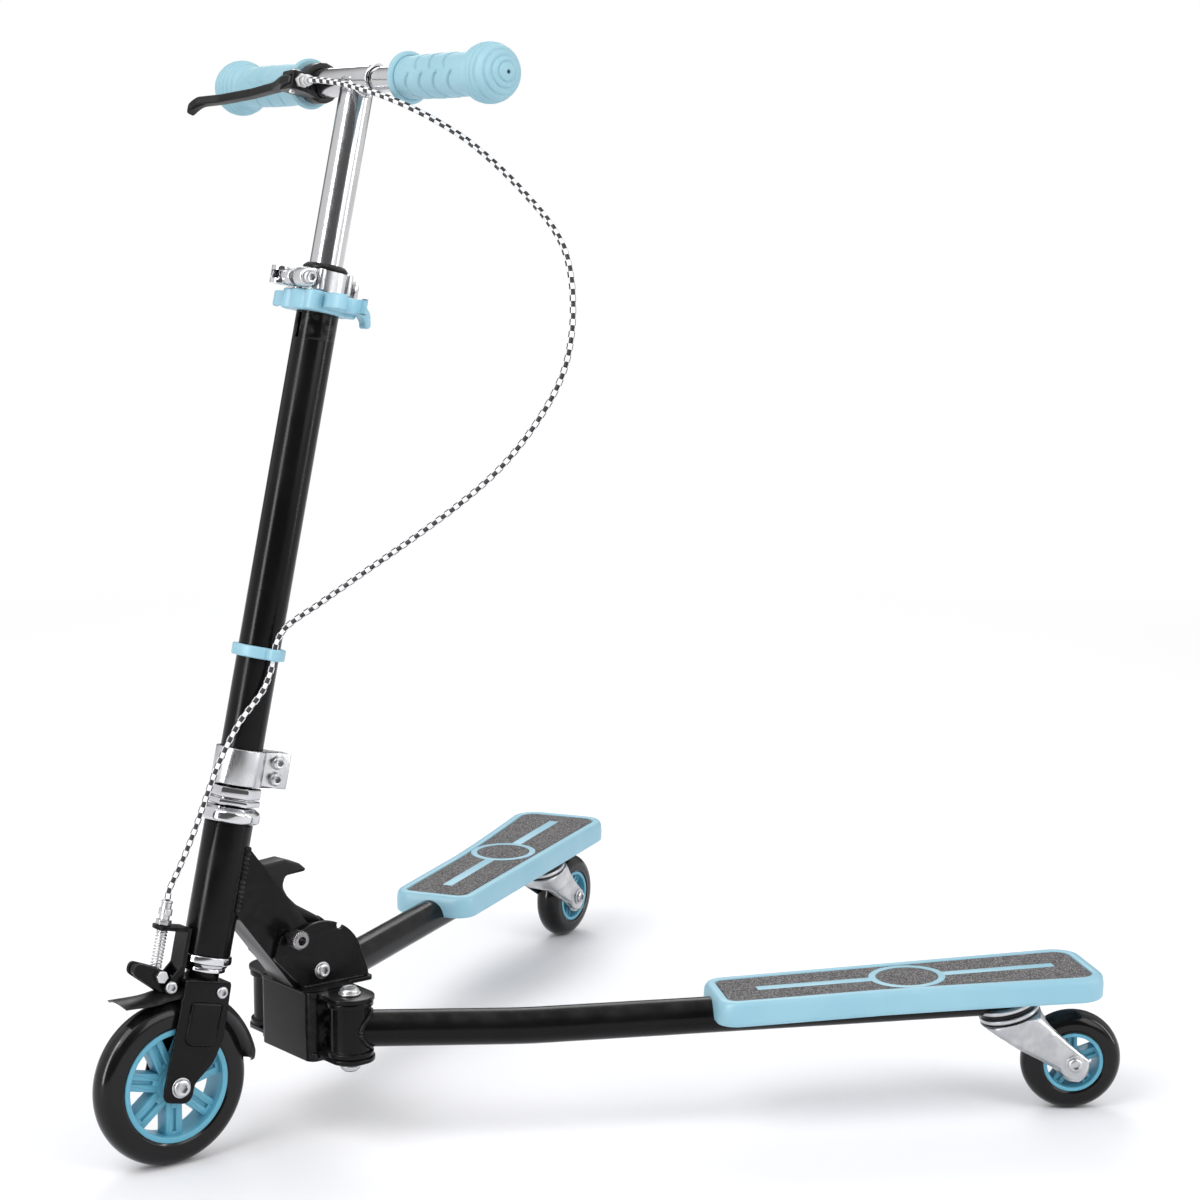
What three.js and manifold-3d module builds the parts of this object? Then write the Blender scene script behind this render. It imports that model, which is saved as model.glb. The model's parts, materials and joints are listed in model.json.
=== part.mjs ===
// Tricycle drifter scooter: a raked steering column that folds over two swinging arms,
// each with a foot deck and a swivel caster. Millimetres, +Z up, forward is -Y, the rider's left is +X.

import * as THREE from 'three';
import { mergeVertices } from 'three/addons/utils/BufferGeometryUtils.js';
import Module from 'manifold-3d';

const wasm = await Module();
wasm.setup();

// Driving dimensions

const runningGap = 0.3;
const overrun = 2;
const degree = Math.PI / 180;

const steering = { rake: 12.8 * degree, footAhead: 127.4 };

const frontWheel = {
  radius: 62.5, halfWidth: 12, axleAhead: 12, hubRadius: 43.6, hubHalf: 11.5, rimWall: 4.6,
  spokes: 7, spokeHalf: 7, bossRadius: 14.5, webHalf: 6.5, slotWidth: 3.2, slotDepth: 2.4, axleRadius: 4,
  sides: 24,
};

const casterWheel = {
  radius: 40, halfWidth: 12, hubRadius: 23.9, hubHalf: 11.5, rimWall: 3.2,
  spokes: 5, spokeHalf: 4.6, bossRadius: 9.6, webHalf: 6.5, slotWidth: 2.6, slotDepth: 2.2, axleRadius: 3.5,
  sides: 20,
};

const fork = {
  innerHalf: 13.8, sheet: 2.8, crownTop: 142, frontReach: 22.4, rearReach: 16.7, shoulderReach: 18,
  shoulderHeight: 98.3, neckReach: 12.5, neckHeight: 80, bossRadius: 12, steererRadius: 12.5,
  steererTop: 330,
  padRise: 1.2, padTop: 126, padFoot: 92, padFront: 15.6, padRear: 10.3, bendRound: 4,
};

const axleBolt = { headRadius: 7, headHeight: 3.4 };

const mudguard = {
  innerRadius: 66.5, wall: 2.2, crownRise: 3, frontAngle: 117 * degree, rearAngle: 18.5 * degree,
  lipRise: 11, lipAngle: 13 * degree, windowHalf: 7.4, windowFrom: 82 * degree, windowTo: 125 * degree,
};

const headTube = { radius: 18.3, wall: 2.5, foot: 160.3, top: 259.7 };
const lowerCup = { radius: 20, foot: 151, height: 9, lip: 2 };
const upperCup = { flangeRadius: 22.5, flangeHeight: 5.4, neckRadius: 17.4, height: 13 };
const headNut = { washerRadius: 18, washerHeight: 5, flats: 34, hexHeight: 9.6, edge: 0.8 };

const lowerTube = { radius: 15.9, wall: 1.6, foot: 290, top: 677, slitWidth: 1.6, slotWidth: 6,
  slotTop: 641, slotFoot: 628 };
const clampCollar = { radius: 19, foot: 289, height: 27, earHalf: 8, earReach: 33, slit: 1.6,
  boltReach: 24.5, boltInset: 7.2 };
const clampBolt = { shankRadius: 2.8, headRadius: 5, headHeight: 5.4, socketRadius: 2.6, socketDepth: 3 };

const cableClip = { radius: 20, foot: 381, height: 16, eyeReach: 21.6, eyeRadius: 6.2 };
const holder = {
  radius: 24, foot: 641, height: 19.7, lobeReach: 22, lobeRadius: 7.5, clawReach: 36, clawRadius: 16,
  gripRadius: 11.2, mouthHalf: 8.4, hookDrop: 9, hookWidth: 9,
};
const quickCollar = { radius: 19, foot: 661, height: 15.7, bossAhead: 25, bossRadius: 7.2, bossFrom: -3,
  bossTo: 23 };
const quickLever = {
  pivotSide: 20, camRadius: 7.6, bandRadius: 29, bandWall: 3.2, tipAngle: 84 * degree, height: 13,
  pinRadius: 2.5,
};
const tubeBush = { radius: 16.6, height: 5 };

const upperBar = { radius: 12.5, wall: 1.6, foot: 537, rise: 144.7, barRadius: 11.1, leftEnd: 27,
  rightEnd: 62, ringRise: 0.9, ringWidth: 3 };
const teeHeight = lowerTube.top + upperBar.rise;
const handle = { radius: 9.5, wall: 1.5, insertion: 39.5, end: 178 };
const grip = {
  start: 64, end: 187, boreGap: 0.3, flangeRadius: 19.3, flangeWidth: 4, bodyRadius: 16.2,
  waistRadius: 15.2,
  waves: 4, waveDepth: 0.7, bulbAt: 165, bulbRadius: 21.7, ridges: 3, ridgeDepth: 0.9, holeRadius: 2,
};

const leverClamp = { outerRadius: 15.4, from: 48, to: 60, bodyAhead: 36, bodyFrom: 34, height: 14, drop: 6,
  slotHeight: 7.4, wall: 5 };
const brakeLever = { pivotSide: 43, pivotAhead: 29, tipSide: 148, tipAhead: 48, thickness: 6.4,
  bladeWidth: 9, rootRadius: 5.6, pinRadius: 2.4, droop: 2.6 * degree };
const leverAdjuster = { radius: 3.6, nutRadius: 5.2, length: 14, nutLength: 4, bore: 2.8 };

const cable = { radius: 2.5, sides: 8, steps: 72 };

const brakeBracket = {
  ahead: 21, sheet: 3, halfWidth: 9, tabAhead: 48, tabTop: 179, earInner: 6.9, earRadius: 5.4,
};
const brakeArm = {
  pivotAhead: 31, pivotHeight: 134.5, pinRadius: 2.5, half: 6.4, depth: 6, noseAhead: 57.8, noseHeight: 146,
  anchorShare: 0.36, anchorRise: 3.2, noseRadius: 4.6,
};
const anchorBolt = { shankRadius: 2.4, headRadius: 5.3, headHeight: 3.6 };
const brakePad = { length: 15, half: 5.6, depth: 3.4, clearance: 2.6, ahead: 11 };
const brakeSpring = { radius: 3.4, wire: 0.55, curls: 13, curlSteps: 8, wireSides: 5, ahead: 41 };
const lowerAdjuster = { nutRadius: 5.6, nutHeight: 4, barrelRadius: 3.9, height: 18, bore: 2.8 };

const hinge = { armSide: 54.2, earRadius: 19, boltRadius: 5, sleeveRadius: 15.6, collarRadius: 18,
  collarHeight: 4 };
const block = {
  front: 19, halfWidth: 31, sheet: 3.5, foot: 65.5, top: 119.5, sideDepth: 31, cornerRound: 6,
  tongueHalf: 22, tongueRear: 44, lipDrop: 3.5,
};
const hingeBolt = { headRadius: 9, headHeight: 4.6, washerRadius: 10.4, washerHeight: 1.4 };

const fold = { pivotRear: -2, pivotHeight: 131, boltRadius: 5, boltHead: 8, boltHeadHeight: 3.6,
  angle: 70 * degree };
const foldPlate = {
  inner: 15.4, sheet: 4, arc: 38, pinAngle: 131.8 * degree, rearEdge: 41,
  earRadius: 47, cornerRadius: 44.7, cornerAngle: 158 * degree, tipWidth: 7,
};
const channel = { slope: 52.8 * degree, half: 15, wall: 2.8, rise: 15.4, drop: 24.6, endRadius: 11.2 };
const lockPin = { radius: 3, orbit: 41.6, reach: 21.4, knobFrom: 21.5, knobTo: 36, knobRadius: 6.4,
  collarRadius: 5, travel: 4.5, lift: 1, socketRadius: 3.4, socketDepth: 5 };
const hook = { half: 8.6, height: 56 };

const arm = {
  splay: 28.75 * degree, radius: 14, startHeight: 93, bendAt: 135, bendHeight: 88, end: 507,
  endHeight: 91.5,
  sides: 14, bendSpan: 34, wall: 2,
};
const deck = {
  start: 279, end: 587, frontHalf: 38, rearHalf: 50, innerRear: 45, waistShare: 0.42, skirt: 17, wall: 3.4,
  slope: 0.03,
  tapeStart: 288, tapeHeight: 107.5, frontRound: 15, rearRound: 20, ribs: 4, ribWall: 3, chamfer: 3,
};
const gripTape = {
  inset: 8, thickness: 0.9, ringRadius: 30, ringWidth: 5.5, ringAt: 436.5, groove: 0.35, stripeHalf: 4.6,
  stripeFrom: 316, stripeTo: 556,
};

const caster = {
  at: 521.5, raceFoot: 76.8, tilt: 16 * degree, heading: 6.6 * degree, raceRadius: 24, raceHeight: 13,
  hubRadius: 21,
  trail: 37.4, drop: 49, innerHalf: 13.6, sheet: 2.8, bossRadius: 13, kingPin: 5, topGap: 0.4, dishDepth: 4,
};

// Colours

const paint = { color: 0x262425, roughness: 0.42, metalness: 0.3 };
const chrome = { color: 0xd4d6d8, roughness: 0.16, metalness: 1 };
const aluminium = { color: 0xc4c6c8, roughness: 0.34, metalness: 1 };
const zinc = { color: 0xb9bcbf, roughness: 0.3, metalness: 0.9 };
const bluePlastic = { color: 0xa8d6e6, roughness: 0.5, metalness: 0 };
const blueRubber = { color: 0x9bd0e0, roughness: 0.7, metalness: 0 };
const blackPlastic = { color: 0x1f1f20, roughness: 0.5, metalness: 0 };
const tyreBlack = { color: 0x171617, roughness: 0.25, metalness: 0 };
const gritGrey = { color: 0x5a5658, roughness: 0.95, metalness: 0 };
const braidGrey = { color: 0xc9c9c9, roughness: 0.55, metalness: 0 };

// Solids

function solidOf(geometry) {
  const bare = geometry.index ? geometry.toNonIndexed() : geometry.clone();
  bare.deleteAttribute('normal');
  bare.deleteAttribute('uv');
  const merged = mergeVertices(bare);
  const corners = merged.index.array;
  const kept = [];
  for (let i = 0; i < corners.length; i += 3) {
    const [a, b, c] = [corners[i], corners[i + 1], corners[i + 2]];
    if (a !== b && b !== c && c !== a) kept.push(a, b, c);
  }
  const mesh = new wasm.Mesh({
    numProp: 3,
    vertProperties: merged.attributes.position.array,
    triVerts: Uint32Array.from(kept),
  });
  return new wasm.Manifold(mesh);
}

function geometryOf(solid) {
  const mesh = solid.getMesh();
  const geometry = new THREE.BufferGeometry();
  geometry.setAttribute('position', new THREE.BufferAttribute(mesh.vertProperties, 3));
  geometry.setIndex(new THREE.BufferAttribute(mesh.triVerts, 1));
  const flat = geometry.toNonIndexed();
  flat.computeVertexNormals();
  return flat;
}

function join(...forms) {
  return geometryOf(forms.map(solidOf).reduce((sum, form) => sum.add(form)));
}

function cut(base, ...tools) {
  return geometryOf(tools.map(solidOf).reduce((rest, tool) => rest.subtract(tool), solidOf(base)));
}

function common(first, second) {
  return geometryOf(solidOf(first).intersect(solidOf(second)));
}

// Shapes

function box(x, y, z) {
  const geometry = new THREE.BoxGeometry(x[1] - x[0], y[1] - y[0], z[1] - z[0]);
  return geometry.translate((x[0] + x[1]) / 2, (y[0] + y[1]) / 2, (z[0] + z[1]) / 2);
}

function rod(radius, from, to, sides = 16) {
  const geometry = new THREE.CylinderGeometry(radius, radius, to - from, sides);
  return geometry.rotateX(Math.PI / 2).translate(0, 0, (from + to) / 2);
}

function crossRod(radius, from, to, sides = 16) {
  return alongX(rod(radius, from, to, sides));
}

function alongX(geometry) {
  return geometry.rotateY(Math.PI / 2);
}

function turned(profile, sides = 16) {
  const points = profile.map(([radius, height]) => new THREE.Vector2(radius, height));
  return new THREE.LatheGeometry(points, sides).rotateX(Math.PI / 2);
}

function ringProfile(inner, outer, from, to, bevel = 0) {
  return [[inner, from], [outer - bevel, from], [outer, from + bevel], [outer, to - bevel],
    [outer - bevel, to], [inner, to], [inner, from]];
}

function ring(inner, outer, from, to, bevel = 0, sides = 20) {
  return turned(ringProfile(inner, outer, from, to, bevel), sides);
}

function outline(corners) {
  const shape = new THREE.Shape();
  corners.forEach(([x, y, round = 0], i) => {
    const corner = new THREE.Vector2(x, y);
    const before = new THREE.Vector2(...corners.at(i - 1)).sub(corner);
    const after = new THREE.Vector2(...corners[(i + 1) % corners.length]).sub(corner);
    const reach = Math.min(round, before.length() / 2, after.length() / 2);
    const entry = corner.clone().addScaledVector(before.normalize(), reach);
    const exit = corner.clone().addScaledVector(after.normalize(), reach);
    if (i === 0) shape.moveTo(entry.x, entry.y);
    else shape.lineTo(entry.x, entry.y);
    if (reach > 0) shape.quadraticCurveTo(corner.x, corner.y, exit.x, exit.y);
  });
  shape.closePath();
  return shape;
}

function arcCorners(centre, radius, from, to, steps) {
  const corners = [];
  for (let i = 0; i <= steps; i += 1) {
    const angle = from + ((to - from) * i) / steps;
    corners.push([centre[0] + radius * Math.cos(angle), centre[1] + radius * Math.sin(angle)]);
  }
  return corners;
}

function plate(shape, from, to, curveSegments = 2) {
  const geometry = new THREE.ExtrudeGeometry(shape, { depth: to - from, bevelEnabled: false,
    curveSegments });
  return geometry.translate(0, 0, from);
}

// An outline given in Y and Z, thick along X.
function sidePlate(shape, from, to, curveSegments = 2) {
  const turn = new THREE.Matrix4().makeBasis(
    new THREE.Vector3(0, 1, 0), new THREE.Vector3(0, 0, 1), new THREE.Vector3(1, 0, 0));
  return plate(shape, from, to, curveSegments).applyMatrix4(turn);
}

function circle(radius, sides, hole = 0) {
  const shape = new THREE.Shape(arcCorners([0, 0], radius, 0, 2 * Math.PI, sides).slice(0, -1)
    .map(([x, y]) => new THREE.Vector2(x, y)));
  if (hole > 0) shape.holes.push(circle(hole, sides));
  return shape;
}

function sweep(curve, radius, steps, sides) {
  return new THREE.ExtrudeGeometry(circle(radius, sides),
    { steps, extrudePath: curve, bevelEnabled: false });
}

// A closed body through rings of equally many points, capped at both ends.
function loft(rings) {
  const count = rings[0].length;
  const positions = rings.flat().flatMap((point) => [...point]);
  const faces = [];
  for (let i = 0; i + 1 < rings.length; i += 1) {
    for (let j = 0; j < count; j += 1) {
      const a = i * count + j;
      const b = i * count + ((j + 1) % count);
      faces.push(a, b, b + count, a, b + count, a + count);
    }
  }
  const last = (rings.length - 1) * count;
  for (let j = 1; j + 1 < count; j += 1) {
    faces.push(0, j + 1, j, last, last + j, last + j + 1);
  }
  const geometry = new THREE.BufferGeometry();
  geometry.setAttribute('position', new THREE.Float32BufferAttribute(positions, 3));
  geometry.setIndex(faces);
  return geometry;
}

function piece(name, geometry, finish) {
  const mesh = new THREE.Mesh(geometry, new THREE.MeshStandardMaterial(finish));
  mesh.name = name;
  return mesh;
}

function groupOf(pieces, position = [0, 0, 0], rotation = [0, 0, 0]) {
  const group = new THREE.Group();
  group.add(...pieces);
  group.position.set(...position);
  group.rotation.set(...rotation);
  return group;
}

// Wheels, about the X axis with the axle at the origin

function tyre(wheel) {
  const seat = wheel.hubRadius + runningGap;
  const side = wheel.halfWidth;
  const shoulder = wheel.radius - side;
  const profile = [[seat, -wheel.hubHalf], [shoulder - side * 0.1, -side]];
  const crownSteps = 6;
  for (let i = 0; i <= crownSteps; i += 1) {
    const angle = (-0.5 + i / crownSteps) * Math.PI;
    profile.push([shoulder + side * Math.cos(angle) ** 0.8, side * Math.sin(angle)]);
  }
  profile.push([shoulder - side * 0.1, side], [seat, wheel.hubHalf], [seat, -wheel.hubHalf]);
  return alongX(turned(profile, wheel.sides));
}

function spokeWindow(wheel, index) {
  const step = (2 * Math.PI) / wheel.spokes;
  const inner = wheel.bossRadius + 1.2 * wheel.rimWall * 0.5;
  const outer = wheel.hubRadius - wheel.rimWall;
  const from = index * step;
  const side = (radius, sign) => Math.asin(wheel.spokeHalf / radius) * sign;
  const corners = [
    ...arcCorners([0, 0], outer, from + side(outer, 1), from + step - side(outer, 1), 2),
    ...arcCorners([0, 0], inner, from + step - side(inner, 1), from + side(inner, 1), 1),
  ];
  return plate(outline(corners), -wheel.hubHalf - overrun, wheel.hubHalf + overrun);
}

function spokeSlot(wheel, index, face) {
  const length = wheel.hubRadius - wheel.rimWall - wheel.bossRadius;
  const from = wheel.bossRadius + length * 0.16;
  const to = from + length * 0.68;
  const half = wheel.slotWidth / 2;
  const shape = outline([[from, -half], [to, -half], [to, half], [from, half]]);
  const bottom = wheel.webHalf - wheel.slotDepth;
  return plate(shape, bottom, wheel.hubHalf + overrun, 1).rotateX(face > 0 ? 0 : Math.PI)
    .rotateZ((index * 2 * Math.PI) / wheel.spokes);
}

function hub(wheel) {
  const bore = wheel.axleRadius + runningGap;
  const rim = wheel.hubRadius - wheel.rimWall;
  const body = turned([
    [bore, -wheel.hubHalf], [wheel.bossRadius, -wheel.hubHalf], [wheel.bossRadius, -wheel.webHalf],
    [rim, -wheel.webHalf], [rim, -wheel.hubHalf], [wheel.hubRadius, -wheel.hubHalf],
    [wheel.hubRadius, wheel.hubHalf], [rim, wheel.hubHalf], [rim, wheel.webHalf],
    [wheel.bossRadius, wheel.webHalf], [wheel.bossRadius, wheel.hubHalf], [bore, wheel.hubHalf],
    [bore, -wheel.hubHalf],
  ], wheel.sides);
  const cuts = [];
  for (let i = 0; i < wheel.spokes; i += 1) {
    cuts.push(spokeWindow(wheel, i), spokeSlot(wheel, i, 1), spokeSlot(wheel, i, -1));
  }
  return alongX(cut(body, ...cuts));
}

// A bolt along X with a domed head at each end of its grip.
function domedBolt(shank, head, rise, half) {
  const dome = [1, 0.7].map((share, i) => [head * share, half + rise * [0.4, 1][i]]);
  const profile = [[0, -half - rise], ...dome.map(([radius, at]) => [radius, -at]).reverse(),
    [head, -half], [shank, -half], [shank, half], [head, half], ...dome, [0, half + rise]];
  return alongX(turned(profile, 10));
}

// Steering column, in the frame of the raked axis: Y is rearward and Z runs up the axis

const sinRake = Math.sin(steering.rake);
const cosRake = Math.cos(steering.rake);
const axleHeight = (frontWheel.radius - frontWheel.axleAhead * sinRake) / cosRake;
const axle = [-frontWheel.axleAhead, axleHeight];

function forkLeg() {
  const foot = arcCorners(axle, fork.bossRadius, -Math.PI, -0.12 * Math.PI, 8);
  return outline([
    [-fork.frontReach, fork.crownTop, fork.bendRound], ...foot,
    [fork.neckReach, fork.neckHeight, fork.bossRadius],
    [fork.shoulderReach, fork.shoulderHeight, fork.bossRadius],
    [fork.rearReach, fork.crownTop, fork.bendRound],
  ]);
}

function forkPad(side) {
  const outer = side * (fork.innerHalf + fork.sheet);
  const shape = outline([
    [-fork.padFront, fork.padTop, fork.bendRound], [-fork.padFront, fork.padFoot, fork.bendRound],
    [fork.padRear, fork.padFoot, fork.bendRound], [fork.padRear, fork.padTop, fork.bendRound],
  ]);
  const outside = outer + side * fork.padRise;
  return sidePlate(shape, Math.min(outer - side * fork.sheet / 2, outside),
    Math.max(outer - side * fork.sheet / 2, outside));
}

function forkPiece() {
  const outer = fork.innerHalf + fork.sheet;
  const legs = sidePlate(forkLeg(), -outer, outer);
  const reach = fork.frontReach + fork.bossRadius + overrun;
  const gap = box([-fork.innerHalf, fork.innerHalf], [-reach, reach], [0, fork.crownTop - fork.sheet]);
  const steerer = rod(fork.steererRadius, fork.crownTop - fork.sheet / 2, fork.steererTop, 16);
  const axleHole = crossRod(frontWheel.axleRadius + runningGap, -outer - overrun, outer + overrun, 10)
    .translate(0, ...axle);
  return cut(join(cut(legs, gap), steerer, forkPad(1), forkPad(-1)), axleHole);
}

function mudguardPiece() {
  const half = fork.innerHalf - runningGap;
  const inner = mudguard.innerRadius;
  const crown = inner + mudguard.crownRise;
  const shell = turned([
    [inner, -half], [inner + mudguard.wall, -half], [crown, -half * 0.55], [crown, half * 0.55],
    [inner + mudguard.wall, half], [inner, half], [crown - mudguard.wall, half * 0.5],
    [crown - mudguard.wall, -half * 0.5], [inner, -half],
  ], 36);
  const reach = inner * 2;
  const fan = outline([
    [0, 0], [reach * Math.cos(mudguard.rearAngle), reach * Math.sin(mudguard.rearAngle)], [reach, reach],
    [0, reach], [-reach, reach], [reach * Math.cos(mudguard.frontAngle),
    reach * Math.sin(mudguard.frontAngle)],
  ]);
  const arc = common(alongX(shell), sidePlate(fan, -half - overrun, half + overrun));
  const at = (radius, angle) => [radius * Math.cos(angle), radius * Math.sin(angle)];
  const lipEnd = mudguard.frontAngle + mudguard.lipAngle;
  const start = mudguard.frontAngle - mudguard.lipAngle / 3;
  const lip = sidePlate(outline([
    at(crown - mudguard.wall, start), at(crown, start), at(crown + mudguard.wall, mudguard.frontAngle),
    at(crown + mudguard.lipRise, lipEnd), at(crown + mudguard.lipRise - mudguard.wall, lipEnd),
    at(crown - mudguard.wall / 2, mudguard.frontAngle),
  ]), -half, half);
  const window = outline([
    [0, 0], at(reach, mudguard.windowFrom), [-reach / 2, reach],
    at(reach, mudguard.windowTo - mudguard.lipAngle),
  ]);
  const pocket = sidePlate(window, -mudguard.windowHalf, mudguard.windowHalf);
  return cut(join(arc, lip), pocket).translate(0, ...axle);
}

const crownUnder = fork.crownTop - fork.sheet;
const nutFoot = lowerCup.foot + lowerCup.height + 2 * runningGap
  + (headTube.top - headTube.foot) + upperCup.height + runningGap;
const steererBore = fork.steererRadius + runningGap;
const tubeSeat = lowerTube.radius + runningGap;

function lowerCupPiece() {
  const top = lowerCup.foot + lowerCup.height;
  return turned([
    [steererBore, lowerCup.foot], [lowerCup.radius - lowerCup.lip * 2, lowerCup.foot],
    [lowerCup.radius - lowerCup.lip / 2, lowerCup.foot + lowerCup.lip],
    [lowerCup.radius, lowerCup.foot + lowerCup.lip * 2],
    [lowerCup.radius, top - lowerCup.lip / 2], [lowerCup.radius - lowerCup.lip / 2, top],
    [steererBore, top], [steererBore, lowerCup.foot],
  ], 20);
}

function upperCupPiece() {
  const foot = headTube.top + runningGap;
  const top = foot + upperCup.height;
  const flangeTop = foot + upperCup.flangeHeight;
  return turned([
    [steererBore, foot], [upperCup.flangeRadius - lowerCup.lip, foot],
    [upperCup.flangeRadius, foot + lowerCup.lip],
    [upperCup.flangeRadius, flangeTop - lowerCup.lip], [upperCup.flangeRadius - lowerCup.lip, flangeTop],
    [upperCup.neckRadius, flangeTop + lowerCup.lip], [upperCup.neckRadius, top - lowerCup.lip / 2],
    [upperCup.neckRadius - lowerCup.lip / 2, top], [steererBore, top], [steererBore, foot],
  ], 20);
}

function headNutPiece() {
  const washerTop = nutFoot + headNut.washerHeight;
  const across = headNut.flats / Math.sqrt(3);
  const hex = common(
    rod(across, washerTop - headNut.washerHeight / 2, washerTop + headNut.hexHeight, 6),
    turned([[0, nutFoot], [across, nutFoot], [across, washerTop + headNut.hexHeight * 0.85],
      [across * 0.93, washerTop + headNut.hexHeight], [0, washerTop + headNut.hexHeight]], 20));
  const washer = ring(fork.steererRadius, headNut.washerRadius, nutFoot, washerTop, headNut.edge, 20);
  return cut(join(hex, washer), rod(steererBore, nutFoot - overrun, washerTop + headNut.hexHeight + overrun,
    16));
}

function clampCollarPiece() {
  const top = clampCollar.foot + clampCollar.height;
  const body = rod(clampCollar.radius, clampCollar.foot, top, 20);
  const ears = plate(outline([
    [-clampCollar.earHalf, 0], [clampCollar.earHalf, 0],
    [clampCollar.earHalf, clampCollar.earReach, 3 * clampCollar.slit],
    [-clampCollar.earHalf, clampCollar.earReach, 3 * clampCollar.slit],
  ]), clampCollar.foot, top);
  const bore = rod(tubeSeat, clampCollar.foot - overrun, top + overrun, 20);
  const slit = box([-clampCollar.slit / 2, clampCollar.slit / 2], [0, clampCollar.earReach + overrun],
    [clampCollar.foot - overrun, top + overrun]);
  const holes = clampBoltHeights().map((height) => crossRod(clampBolt.shankRadius + runningGap,
    -clampCollar.earHalf - overrun, clampCollar.earHalf + overrun, 10).translate(0, clampCollar.boltReach,
      height));
  return cut(join(body, ears), bore, slit, ...holes);
}

function clampBoltHeights() {
  const middle = clampCollar.foot + clampCollar.height / 2;
  return [middle + clampCollar.height / 2 - clampCollar.boltInset,
    middle - clampCollar.height / 2 + clampCollar.boltInset];
}

function socketBolt(shankRadius, headRadius, headHeight, from, to) {
  const head = turned([[0, to], [headRadius, to], [headRadius, to + headHeight * 0.8],
    [headRadius * 0.86, to + headHeight],
    [0, to + headHeight]], 10);
  const socket = rod(clampBolt.socketRadius, to + headHeight - clampBolt.socketDepth,
    to + headHeight + overrun, 6);
  return alongX(cut(join(rod(shankRadius, from, to + headHeight / 2, 10), head), socket));
}

function clampBoltPiece(height) {
  const from = -clampCollar.earHalf - clampBolt.headHeight / 2;
  return socketBolt(clampBolt.shankRadius, clampBolt.headRadius, clampBolt.headHeight, from,
    clampCollar.earHalf + runningGap)
    .translate(0, clampCollar.boltReach, height);
}

function lowerTubePiece() {
  const inner = lowerTube.radius - lowerTube.wall;
  const tube = ring(inner, lowerTube.radius, lowerTube.foot, lowerTube.top, 0, 16);
  const slit = box([-lowerTube.slitWidth / 2, lowerTube.slitWidth / 2], [-lowerTube.radius - overrun, 0],
    [lowerTube.slotFoot + lowerTube.slotWidth / 2, lowerTube.top + overrun]);
  const half = lowerTube.slotWidth / 2;
  const slot = sidePlate(outline([[lowerTube.slotFoot, -half, half], [lowerTube.slotTop, -half, half],
    [lowerTube.slotTop, half, half], [lowerTube.slotFoot, half, half]]), -lowerTube.radius - overrun, 0)
    .applyMatrix4(new THREE.Matrix4().makeBasis(
      new THREE.Vector3(0, 1, 0), new THREE.Vector3(0, 0, 1), new THREE.Vector3(1, 0, 0)));
  return cut(tube, slit, slot);
}

function cableClipPiece() {
  const top = cableClip.foot + cableClip.height;
  const eyeHole = cable.radius + 2 * runningGap;
  const body = join(rod(cableClip.radius, cableClip.foot, top, 16),
    rod(cableClip.eyeRadius, cableClip.foot, top, 10).translate(cableClip.eyeReach, 0, 0));
  return cut(body, rod(tubeSeat, cableClip.foot - overrun, top + overrun, 16),
    rod(eyeHole, cableClip.foot - overrun, top + overrun, 10).translate(cableClip.eyeReach, 0, 0));
}

function holderPiece() {
  const top = holder.foot + holder.height;
  const forms = [rod(holder.radius, holder.foot, top, 14)];
  for (let i = 0; i < 4; i += 1) {
    const angle = (i + 0.5) * Math.PI / 2;
    forms.push(rod(holder.lobeRadius, holder.foot, top, 6)
      .translate(holder.lobeReach * Math.cos(angle), holder.lobeReach * Math.sin(angle), 0));
  }
  const cuts = [rod(tubeSeat, holder.foot - overrun, top + overrun, 16)];
  for (const side of [1, -1]) {
    forms.push(rod(holder.clawRadius, holder.foot, top, 16).translate(side * holder.clawReach, 0, 0));
    const hookFoot = box([-holder.hookWidth / 2, holder.hookWidth / 2], [0, holder.clawRadius * 0.9],
      [holder.foot - holder.hookDrop, holder.foot + holder.height / 2]);
    forms.push(common(hookFoot.translate(side * holder.clawReach, 0, 0),
      rod(holder.clawRadius, holder.foot - holder.hookDrop, top, 16).translate(side * holder.clawReach, 0,
        0)));
    cuts.push(rod(holder.gripRadius, holder.foot - holder.hookDrop - overrun, top + overrun, 16)
      .translate(side * holder.clawReach, 0, 0));
    const mouth = box([0, holder.clawRadius + overrun], [-holder.mouthHalf, holder.mouthHalf],
      [holder.foot - holder.hookDrop - overrun, top + overrun]);
    cuts.push((side > 0 ? mouth : mouth.rotateZ(Math.PI)).translate(side * holder.clawReach, 0, 0));
  }
  return cut(join(...forms), ...cuts);
}

const quickHeight = quickCollar.foot + quickCollar.height / 2;
const quickPivot = [-quickLever.pivotSide, -quickCollar.bossAhead];

function quickCollarPiece() {
  const top = quickCollar.foot + quickCollar.height;
  const ringBody = rod(quickCollar.radius, quickCollar.foot, top, 20);
  const boss = crossRod(quickCollar.bossRadius, quickCollar.bossFrom, quickCollar.bossTo, 14)
    .translate(0, -quickCollar.bossAhead, quickHeight);
  const bridge = box([quickCollar.bossFrom, quickCollar.bossTo * 0.6], [-quickCollar.bossAhead, 0],
    [quickHeight - quickCollar.bossRadius * 0.9, quickHeight + quickCollar.bossRadius * 0.9]);
  const bore = rod(tubeSeat, quickCollar.foot - overrun, top + overrun, 20);
  const hole = crossRod(clampBolt.shankRadius + runningGap, quickCollar.bossFrom - overrun,
    quickCollar.bossTo + overrun, 10)
    .translate(0, -quickCollar.bossAhead, quickHeight);
  const slit = box([quickCollar.bossFrom - lowerTube.slitWidth, quickCollar.bossFrom],
    [-quickCollar.radius - overrun, 0],
    [quickCollar.foot - overrun, top + overrun]);
  return cut(join(ringBody, boss, bridge), bore, hole, slit);
}

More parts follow.
